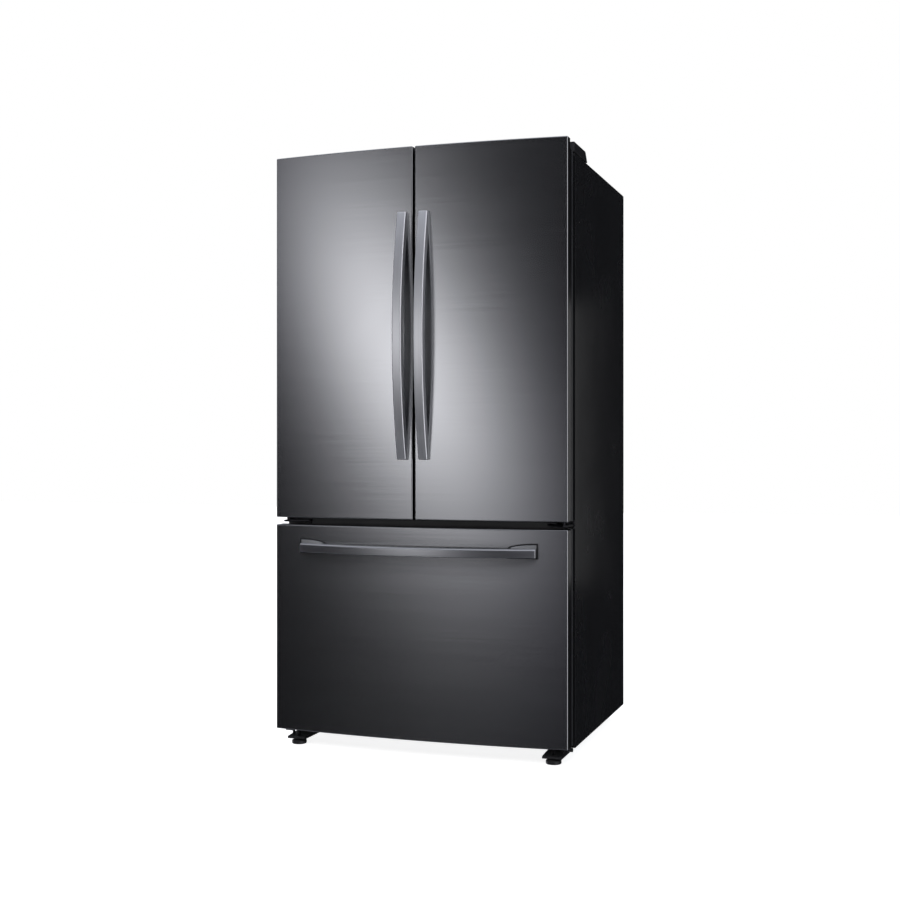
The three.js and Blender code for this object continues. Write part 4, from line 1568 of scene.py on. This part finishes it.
@dataclass
class Cabinet:
    """The outer wrapper with its back, base, hinges, covers, brackets and feet."""

    body: str = "cabinet"
    bead: float = 1.2 * MM
    bead_width: float = 26 * MM
    bead_rows: int = 4
    bead_margin: float = 90 * MM
    screw: float = 4.2 * MM
    screw_inset: float = 14 * MM
    screw_pitch: float = 200 * MM
    screw_gaps: int = 5

    def build(self) -> None:
        """Build the cabinet's outer pieces."""
        refined("cabinet_shell", self.body, CABINET_PAINT, 0.45 * MM)
        refined("mullion_rail", self.body, BLACK_PAINT, 0.5 * MM)
        refined("base_plate", self.body, ZINC, 0.5 * MM)
        refined("compressor_cover", self.body, BLACK_PAINT, 0.3 * MM)
        refined("cabinet_foam", self.body, FOAM, 1.5 * MM)
        self.build_back()
        self.build_screws()
        for side in Side:
            label = side.label
            refined(f"top_hinge_{label}", self.body, PLATED, 0.6 * MM)
            refined(f"center_hinge_{label}", self.body, BLACK_ZINC, 0.6 * MM)
            refined(f"hinge_cover_{label}", self.body, BLACK_PLASTIC, 1.4 * MM)
            refined(f"leg_bracket_{label}", self.body, BLACK_PAINT, 1.3 * MM)
            self.build_foot(side)
            self.build_roller(side)
            refined(f"freezer_rail_{label}", self.body, PLATED, 0.5 * MM)

    def build_back(self) -> None:
        """Press upright beads into the flat back sheet."""
        low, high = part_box("back_panel")
        work = Workpiece()
        work.block(low, high)
        bm = work.bm
        pitch = (high.x - low.x) / (self.bead_rows + 1)
        for row in range(self.bead_rows):
            middle = low.x + pitch * (row + 1)
            for x in (middle - self.bead_width / 2, middle + self.bead_width / 2):
                work.cut(0, x)
        for z in (low.z + self.bead_margin, high.z - self.bead_margin):
            work.cut(2, z)
        rear = [f for f in bm.faces if f.normal.y > 0.9 and self.is_bead(f, low, high)]
        bmesh.ops.inset_individual(bm, faces=rear, thickness=2 * self.bead, depth=-self.bead)
        work.soften(0.4 * MM, 2, 15.0)
        work.done("back_panel_pressed", self.body, ZINC, "back_panel")

    def is_bead(self, face: BMFace, low: Vector, high: Vector) -> bool:
        """Whether a face of the back sheet is one that a bead is pressed into.

        Args:
            face: The face.
            low: The sheet's lowest corner.
            high: The sheet's highest corner.

        Returns:
            True where a bead goes.
        """
        middle = face.calc_center_median()
        width = max(v.co.x for v in face.verts) - min(v.co.x for v in face.verts)
        inside = low.z + self.bead_margin < middle.z < high.z - self.bead_margin
        return inside and abs(width - self.bead_width) < MM

    def build_screws(self) -> None:
        """Set pan-head screws round the back panel and the rear cover, with black crosses on their heads as
        painted shade for their recesses.
        """
        low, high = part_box("back_panel")
        cover_low, cover_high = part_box("compressor_cover")
        inset, gaps = self.screw_inset, self.screw_gaps
        spots = []
        for x in (low.x + inset, high.x - inset):
            spots += [(x, low.z + inset + (high.z - low.z - 2 * inset) * i / gaps) for i in range(gaps + 1)]
            spots += [(x, cover_low.z + inset), (x, cover_high.z - inset)]
        spots += [(x, high.z - inset) for x in (-self.screw_pitch, 0.0, self.screw_pitch)]
        work = Workpiece()
        rear = high.y
        head = (
            (0.0, 0.9 * MM), (self.screw * 0.6, 0.8 * MM), (self.screw * 0.92, 0.45 * MM),
            (self.screw, 0.0), (0.0, 0.0),
        )
        turn = Matrix.Rotation(math.radians(-90.0), 4, "X")
        for x, z in spots:
            work.turned(head, Matrix.Translation((x, rear, z)) @ turn, 16)
        work.done("rear_screws", self.body, PLATED)
        # Painted shade: black crosses stand on the heads where the cross recesses would be dark.
        recess_shade = Workpiece()
        reach, half = self.screw * 0.55, 0.45 * MM
        for x, z in spots:
            y0, y1 = rear + 0.5 * MM, rear + 0.95 * MM
            recess_shade.block((x - reach, y0, z - half), (x + reach, y1, z + half))
            recess_shade.block((x - half, y0, z - reach), (x + half, y1, z + reach))
        recess_shade.done("rear_screw_recesses", self.body, BLACK_PAINT)

    def build_foot(self, side: Side) -> None:
        """Turn the levelling foot, with ribs round its disc and a thread on its stem.

        Args:
            side: The foot's side.
        """
        node = f"leveling_foot_{side.label}"
        low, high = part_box(node)
        middle = (low + high) / 2
        radius = high.x - middle.x
        rib, ribs = 0.7 * MM, 24
        work = Workpiece()
        profile = [
            (0.0, 0.0), (radius - 3 * MM, 0.0), (radius - 1.2 * MM, 0.6 * MM), (radius, 2.2 * MM),
            (radius, 9.0 * MM), (radius - 1.0 * MM, 10.4 * MM), (radius - 3 * MM, 11.2 * MM),
            (13 * MM, 13 * MM), (9 * MM, 14.6 * MM), (5 * MM, 15 * MM),
        ]
        pitch, thread_low = 1.5 * MM, 16 * MM
        for turn in range(int((high.z - thread_low) / pitch)):
            z = thread_low + turn * pitch
            profile += [(4.5 * MM, z), (5.1 * MM, z + pitch / 2)]
        profile += [(4.2 * MM, high.z), (0.0, high.z)]
        work.turned(profile, Matrix.Translation((middle.x, middle.y, 0.0)), 48)
        for step in range(ribs):
            angle = step * math.tau / ribs
            x = middle.x + (radius - rib) * math.cos(angle)
            y = middle.y + (radius - rib) * math.sin(angle)
            work.rod((x, y, 2.2 * MM), (x, y, 7.6 * MM), rib, sides=8)
        work.done(f"{node}_disc", node, BLACK_PLASTIC, node)

    def build_roller(self, side: Side) -> None:
        """Turn the rear roller with its rubber tread grooves.

        Args:
            side: The roller's side.
        """
        node = f"rear_roller_{side.label}"
        low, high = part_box(node)
        middle = (low + high) / 2
        radius, half, bore = (high.z - low.z) / 2, (high.x - low.x) / 2, 4.4 * MM
        groove, dish, edge = 0.8 * MM, 1.5 * MM, 1 * MM
        hub, inner, outer, shoulder = (radius * share for share in (0.55, 0.62, 0.82, 0.88))
        profile = [
            (bore, -half), (hub, -half), (inner, -half + dish), (outer, -half + dish),
            (shoulder, -half), (radius - edge, -half), (radius, -half + edge),
        ]
        for z in (-half * 0.4, half * 0.4):
            profile += [(radius, z - groove), (radius - groove, z), (radius, z + groove)]
        profile += [
            (radius, half - edge), (radius - edge, half), (shoulder, half), (outer, half - dish),
            (inner, half - dish), (hub, half), (bore, half), (bore, -half),
        ]
        work = Workpiece()
        work.turned(profile, Matrix.Translation(middle) @ Matrix.Rotation(math.radians(90.0), 4, "Y"), 48)
        work.done(f"{node}_wheel", node, BLACK_PLASTIC, node)


# ---------------------------------------------------------------- compartments


@dataclass
class LinerShell:
    """A thermoformed compartment liner with a flat rim round its opening."""

    node: str
    outline: Sequence[tuple[float, float]]
    rim_low: float
    rim_high: float
    half: float = 400 * MM
    rim_half: float = 433.7 * MM
    wall: float = 1.8 * MM
    rounding: float = 14 * MM
    deep: float = 200 * MM

    def build(self) -> None:
        """Sweep the hollow across the cabinet, open its front, round it and fold its rim."""
        work = Workpiece()
        outline = [(-self.half, y, z) for y, z in self.outline]
        work.extrusion(outline, (2 * self.half, 0.0, 0.0))
        bm = work.bm
        front = min(y for y, _ in self.outline)

        def is_front(face: BMFace) -> bool:
            """Whether a face closes the compartment's front."""
            return face.normal.y < -0.9 and face.calc_center_median().y < front + MM

        work.drop_faces(is_front)
        round_edges(bm, [e for e in bm.edges if not e.is_boundary], self.rounding, 5)
        lows = [z for y, z in self.outline if y == front]
        low, high = min(lows), max(lows)
        free = [e for e in bm.edges if e.is_boundary]
        rim = bmesh.ops.extrude_edge_only(bm, edges=free)["geom"]
        for vert in only(rim, BMVert):
            share = (vert.co.z - low) / (high - low)
            vert.co.x *= self.rim_half / self.half
            vert.co.z = self.rim_low + share * (self.rim_high - self.rim_low)
        bmesh.ops.recalc_face_normals(bm, faces=bm.faces[:])
        deep = [f for f in bm.faces if f.calc_center_median().y > self.deep]
        if sum(f.normal.y * f.calc_area() for f in deep) > 0:
            bmesh.ops.reverse_faces(bm, faces=bm.faces[:])
        piece = work.done(f"{self.node}_shell", "cabinet", WHITE_PLASTIC, self.node)
        walled(piece, self.wall, 0.6 * MM)


@dataclass
class FridgeCompartment:
    """The upper compartment with its shelves, crispers, air duct and lamp."""

    front: float = -259 * MM
    rear: float = 364 * MM
    low: float = 730 * MM
    high: float = 1699 * MM
    ledge: float = 8 * MM
    levels: tuple[float, ...] = (1470 * MM, 1225 * MM, 950 * MM)

    def build(self) -> None:
        """Build the upper compartment from its walls inwards."""
        outline = [
            (self.front, self.low), (self.rear, self.low), (self.rear, self.high), (self.front, self.high),
        ]
        LinerShell("fridge_liner", outline, 726.3 * MM, 1728.7 * MM).build()
        self.build_ledges()
        self.build_duct()
        self.build_lamp()
        for shelf in ("shelf_upper", "shelf_lower", "crisper_cover"):
            refined(f"{shelf}_frame", "cabinet", WHITE_PLASTIC, 1.6 * MM)
            refined(f"{shelf}_glass", "cabinet", GLASS, 0.8 * MM)
            self.build_trim(shelf)
        for side in Side:
            self.build_crisper(side)

    def build_ledges(self) -> None:
        """Mould the ledges that the shelves lie on."""
        work = Workpiece()
        half = 400 * MM
        for side in Side:
            for level in self.levels:
                x0, x1 = sorted((side.value * (half - self.ledge), side.value * (half + MM)))
                work.block((x0, -115 * MM, level - self.ledge), (x1, 330 * MM, level), 2.5 * MM)
        work.done("fridge_liner_ledges", "cabinet", WHITE_PLASTIC)

    def build_trim(self, shelf: str) -> None:
        """Clip a plated strip to the shelf's front edge.

        Args:
            shelf: The shelf's name.
        """
        low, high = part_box(f"{shelf}_frame")
        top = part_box(f"{shelf}_glass")[1].z
        work = Workpiece()
        reach, drop, gap, end = 1.0 * MM, 12 * MM, 1.5 * MM, 6 * MM
        start = (low.x + end, low.y - reach, top - drop)
        work.block(start, (high.x - end, low.y + reach, top - gap), 0.8 * MM)
        work.done(f"{shelf}_trim", "cabinet", PLATED)

    def build_duct(self) -> None:
        """Build the rear air duct with its louvres and the ribs beside them."""
        refined("air_duct", "cabinet", WHITE_PLASTIC, 3 * MM)
        low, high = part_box("air_duct")
        work = Workpiece()
        aside, half, proud, end = 76 * MM, 2 * MM, 1.2 * MM, 60 * MM
        for side in Side:
            x = side.value * aside
            start = (x - half, low.y - proud, low.z + end)
            work.block(start, (x + half, low.y + MM, high.z - end), MM)
        work.done("air_duct_ribs", "cabinet", WHITE_PLASTIC)

    def build_lamp(self) -> None:
        """Build the ceiling housing with its diffuser and a row of plain buttons."""
        refined("control_housing", "cabinet", WHITE_PLASTIC, 2.5 * MM)
        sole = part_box("control_housing")[0].z
        work = Workpiece()
        work.block((-149 * MM, -39 * MM, sole - 0.5 * MM), (149 * MM, 89 * MM, sole + 7 * MM), 3 * MM)
        work.done("lamp_diffuser", "cabinet", LAMP)
        buttons = Workpiece()
        pitch, half, proud = 34 * MM, 11 * MM, 1.2 * MM
        for step in (-2, -1, 0, 1, 2):
            x = step * pitch
            buttons.block((x - half, -70 * MM, sole - proud), (x + half, -56 * MM, sole + MM), MM)
        buttons.done("control_buttons", "cabinet", FRAME_PLASTIC)

    def build_crisper(self, side: Side) -> None:
        """Mould a crisper with its sloped sides, rolled rim and front grip.

        Args:
            side: The crisper's side.
        """
        node = f"crisper_{side.label}"
        low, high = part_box(node)
        lip = 8 * MM
        low.y += lip
        moulded_tray(f"{node}_tray", node, CLEAR, (node,), low, high, 2.5 * MM, 16 * MM, 5 * MM)
        work = Workpiece()
        start = (low.x, low.y - lip, high.z - 20 * MM)
        work.block(start, (high.x, low.y + 2 * MM, high.z - 15 * MM), 1.5 * MM)
        work.block(start, (high.x, low.y - lip + 3 * MM, high.z), 1.4 * MM)
        work.done(f"{node}_grip", node, WHITE_PLASTIC)


@dataclass
class FreezerCompartment:
    """The lower compartment with its step over the machine space, its cover and its basket."""

    front: float = -259 * MM
    low: float = 100 * MM
    high: float = 632 * MM
    step: float = 390 * MM
    step_rear: float = 130 * MM
    rear: float = 364 * MM

    def build(self) -> None:
        """Build the lower compartment."""
        outline = [
            (self.front, self.low), (self.step_rear, self.low), (self.step_rear, self.step),
            (self.rear, self.step), (self.rear, self.high), (self.front, self.high),
        ]
        LinerShell("freezer_liner", outline, 72.3 * MM, 635.7 * MM).build()
        self.build_guides()
        refined("evaporator_cover", "cabinet", WHITE_PLASTIC, 0.7 * MM)
        self.build_fan_grille()
        refined("upper_basket", "upper_basket", WHITE_PLASTIC, 1.0 * MM)

    def build_guides(self) -> None:
        """Mould the guides that the upper basket slides on."""
        work = Workpiece()
        for side in Side:
            x0, x1 = sorted((side.value * 390 * MM, side.value * 401 * MM))
            work.block((x0, -236 * MM, 580 * MM), (x1, 290 * MM, 590 * MM), 2.5 * MM)
        work.done("freezer_liner_guides", "cabinet", WHITE_PLASTIC)

    def build_fan_grille(self) -> None:
        """Set a round fan grille of rings and spokes in the evaporator cover."""
        z, y = 500 * MM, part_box("evaporator_cover")[0].y - 1.5 * MM
        work = Workpiece()
        wire, sides, spokes, reach = 1.3 * MM, 32, 6, 44 * MM
        angles = [step * math.tau / sides for step in range(sides)]
        for radius in (12 * MM, 22 * MM, 32 * MM, 42 * MM):
            points = [(radius * math.cos(angle), y, z + radius * math.sin(angle)) for angle in angles]
            work.wire(points, wire, closed=True)
        for step in range(spokes):
            angle = step * math.tau / spokes
            work.wire([(0.0, y, z), (reach * math.cos(angle), y, z + reach * math.sin(angle))], wire)
        work.done("evaporator_fan_grille", "cabinet", FRAME_PLASTIC)


# ---------------------------------------------------------------- machine space


@dataclass
class MachineSpace:
    """The compressor, condenser and fan behind the slotted rear cover."""

    body: str = "cabinet"
    tube: float = 2.4 * MM
    wire: float = 0.7 * MM
    rows: int = 8
    layers: int = 4
    ties: int = 24
    tie_inset: float = 22 * MM

    def build(self) -> None:
        """Build the machine space."""
        self.build_compressor()
        self.build_condenser()
        refined("fan_shroud", self.body, BLACK_PLASTIC, 1.0 * MM)
        refined("drain_pan", self.body, BLACK_PLASTIC, 0.8 * MM)
        self.build_fan()

    def build_compressor(self) -> None:
        """Turn the welded can, with its sole, grommets, terminal box and tubes."""
        low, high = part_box("compressor")
        middle = (low + high) / 2
        base = low.z
        can = [
            (0.0, 16), (56, 17), (72, 24), (79, 40), (80, 44), (80, 92), (83.5, 93), (84, 95), (84, 99),
            (83.5, 101), (80, 102), (79, 118), (74, 140), (62, 158), (44, 170), (22, 176.5), (0.0, 178),
        ]
        place = Matrix.Translation((middle.x, middle.y, base))
        work = Workpiece()
        work.turned([(radius * 0.97 * MM, height * MM) for radius, height in can], place, 56)
        start = (low.x, low.y + 20 * MM, base + 12 * MM)
        work.block(start, (high.x, high.y - 20 * MM, base + 16 * MM), 1.5 * MM)
        work.done("compressor_can", self.body, COMPRESSOR_PAINT, "compressor")
        self.build_compressor_fittings(middle, base, high.x)

    def build_compressor_fittings(self, middle: Vector, base: float, side: float) -> None:
        """Add grommets, terminal box and tube stubs.

        Args:
            middle: Middle of the compressor.
            base: Its lowest height.
            side: Its greatest X.
        """
        grommets = Workpiece()
        for x in (-84 * MM, 84 * MM):
            for y in (-34 * MM, 34 * MM):
                spot = (middle.x + x, middle.y + y)
                grommets.rod((*spot, base), (*spot, base + 12 * MM), 11 * MM)
                grommets.rod((*spot, base + 15 * MM), (*spot, base + 20 * MM), 7 * MM)
        grommets.done("compressor_grommets", self.body, RUBBER)
        terminal = Workpiece()
        start = (side - 34 * MM, middle.y - 33 * MM, base + 60 * MM)
        terminal.block(start, (side, middle.y + 33 * MM, base + 130 * MM), 4 * MM)
        terminal.done("compressor_terminal_box", self.body, BLACK_PLASTIC)
        tubes = Workpiece()
        for y, height in ((-30 * MM, 96 * MM), (26 * MM, 120 * MM)):
            start = Vector((middle.x - 70 * MM, middle.y + y, base + height))
            knee = start + Vector((-26 * MM, 0.0, 0.0))
            tubes.wire([start, knee, knee + Vector((0.0, 0.0, 62 * MM))], 3.2 * MM, bend=12 * MM)
        tubes.done("compressor_tubes", self.body, COPPER)

    def build_condenser(self) -> None:
        """Fold the condenser tube back and forth and tie it with wires."""
        low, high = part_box("condenser_coil")
        reach = self.tube + self.wire
        work = Workpiece()
        for layer in range(self.layers):
            y = low.y + reach + (high.y - low.y - 2 * reach) * layer / (self.layers - 1)
            points = []
            for row in range(self.rows):
                z = low.z + reach + (high.z - low.z - 2 * reach) * row / (self.rows - 1)
                ends = [(low.x + reach, y, z), (high.x - reach, y, z)]
                points += ends if row % 2 == 0 else ends[::-1]
            work.wire(points, self.tube, bend=14 * MM)
            side = y - self.tube - self.wire
            for step in range(self.ties):
                share = step / (self.ties - 1)
                x = low.x + self.tie_inset + (high.x - low.x - 2 * self.tie_inset) * share
                work.wire([(x, side, low.z), (x, side, high.z)], self.wire)
        work.done("condenser_tubes", self.body, BLACK_PAINT, "condenser_coil")

    def build_fan(self) -> None:
        """Build the condenser fan's hub and its five twisted blades."""
        low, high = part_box("condenser_fan")
        middle = (low + high) / 2
        hub, tip, blades = 16 * MM, 63 * MM, 5
        work = Workpiece()
        bore, rear, face, chord = 3.6 * MM, -7.5 * MM, 8 * MM, 16 * MM
        profile = ((bore, rear), (hub - 2 * MM, rear), (hub, -5 * MM), (hub, face), (bore, face))
        turn = Matrix.Rotation(math.radians(90.0), 4, "Y")
        work.turned((*profile, profile[0]), Matrix.Translation(middle) @ turn, 40)
        for blade in range(blades):
            part = Workpiece()
            part.block((-0.9 * MM, -chord, hub - 2 * MM), (0.9 * MM, chord, tip))
            part.slice_along(2, hub, tip, 8)
            part.slice_along(1, -chord, chord, 6)

            def twisted(spot: Vector, turn_now: float = blade * math.tau / blades) -> Vector:
                """Twist, cup and place a point of the blade.

                Args:
                    spot: Where the vertex is.
                    turn_now: The blade's turn about the axle.

                Returns:
                    Where it goes.
                """
                share = (spot.z - hub) / (tip - hub)
                spot.y *= 0.62 + 0.38 * share
                pitch = Matrix.Rotation(math.radians(38.0 - 16.0 * share), 3, "Z")
                spot = pitch @ spot
                return middle + Matrix.Rotation(turn_now, 3, "X") @ spot

            part.shape(twisted)
            part.soften(0.5 * MM, 2, 40.0)
            work.take(part.bm)
        work.done("condenser_fan_wheel", "condenser_fan", BLACK_PLASTIC, "condenser_fan")


# ---------------------------------------------------------------- the whole


def main() -> None:
    """Build the studio and every sub-assembly in order; each piece logs its face count."""
    logging.basicConfig(level=logging.INFO, format="%(name)s: %(message)s")
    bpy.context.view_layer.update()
    for effect in EFFECTS:
        effect.build()
    Studio().build()
    front = BowedFront.of_frame()
    Cabinet().build()
    FridgeCompartment().build()
    FreezerCompartment().build()
    MachineSpace().build()
    for side in Side:
        Door(front, side).build()
    Drawer(front).build()
    refined("flip_mullion", "flip_mullion", FRAME_PLASTIC, 0.8 * MM)


if __name__ == "__main__":
    main()
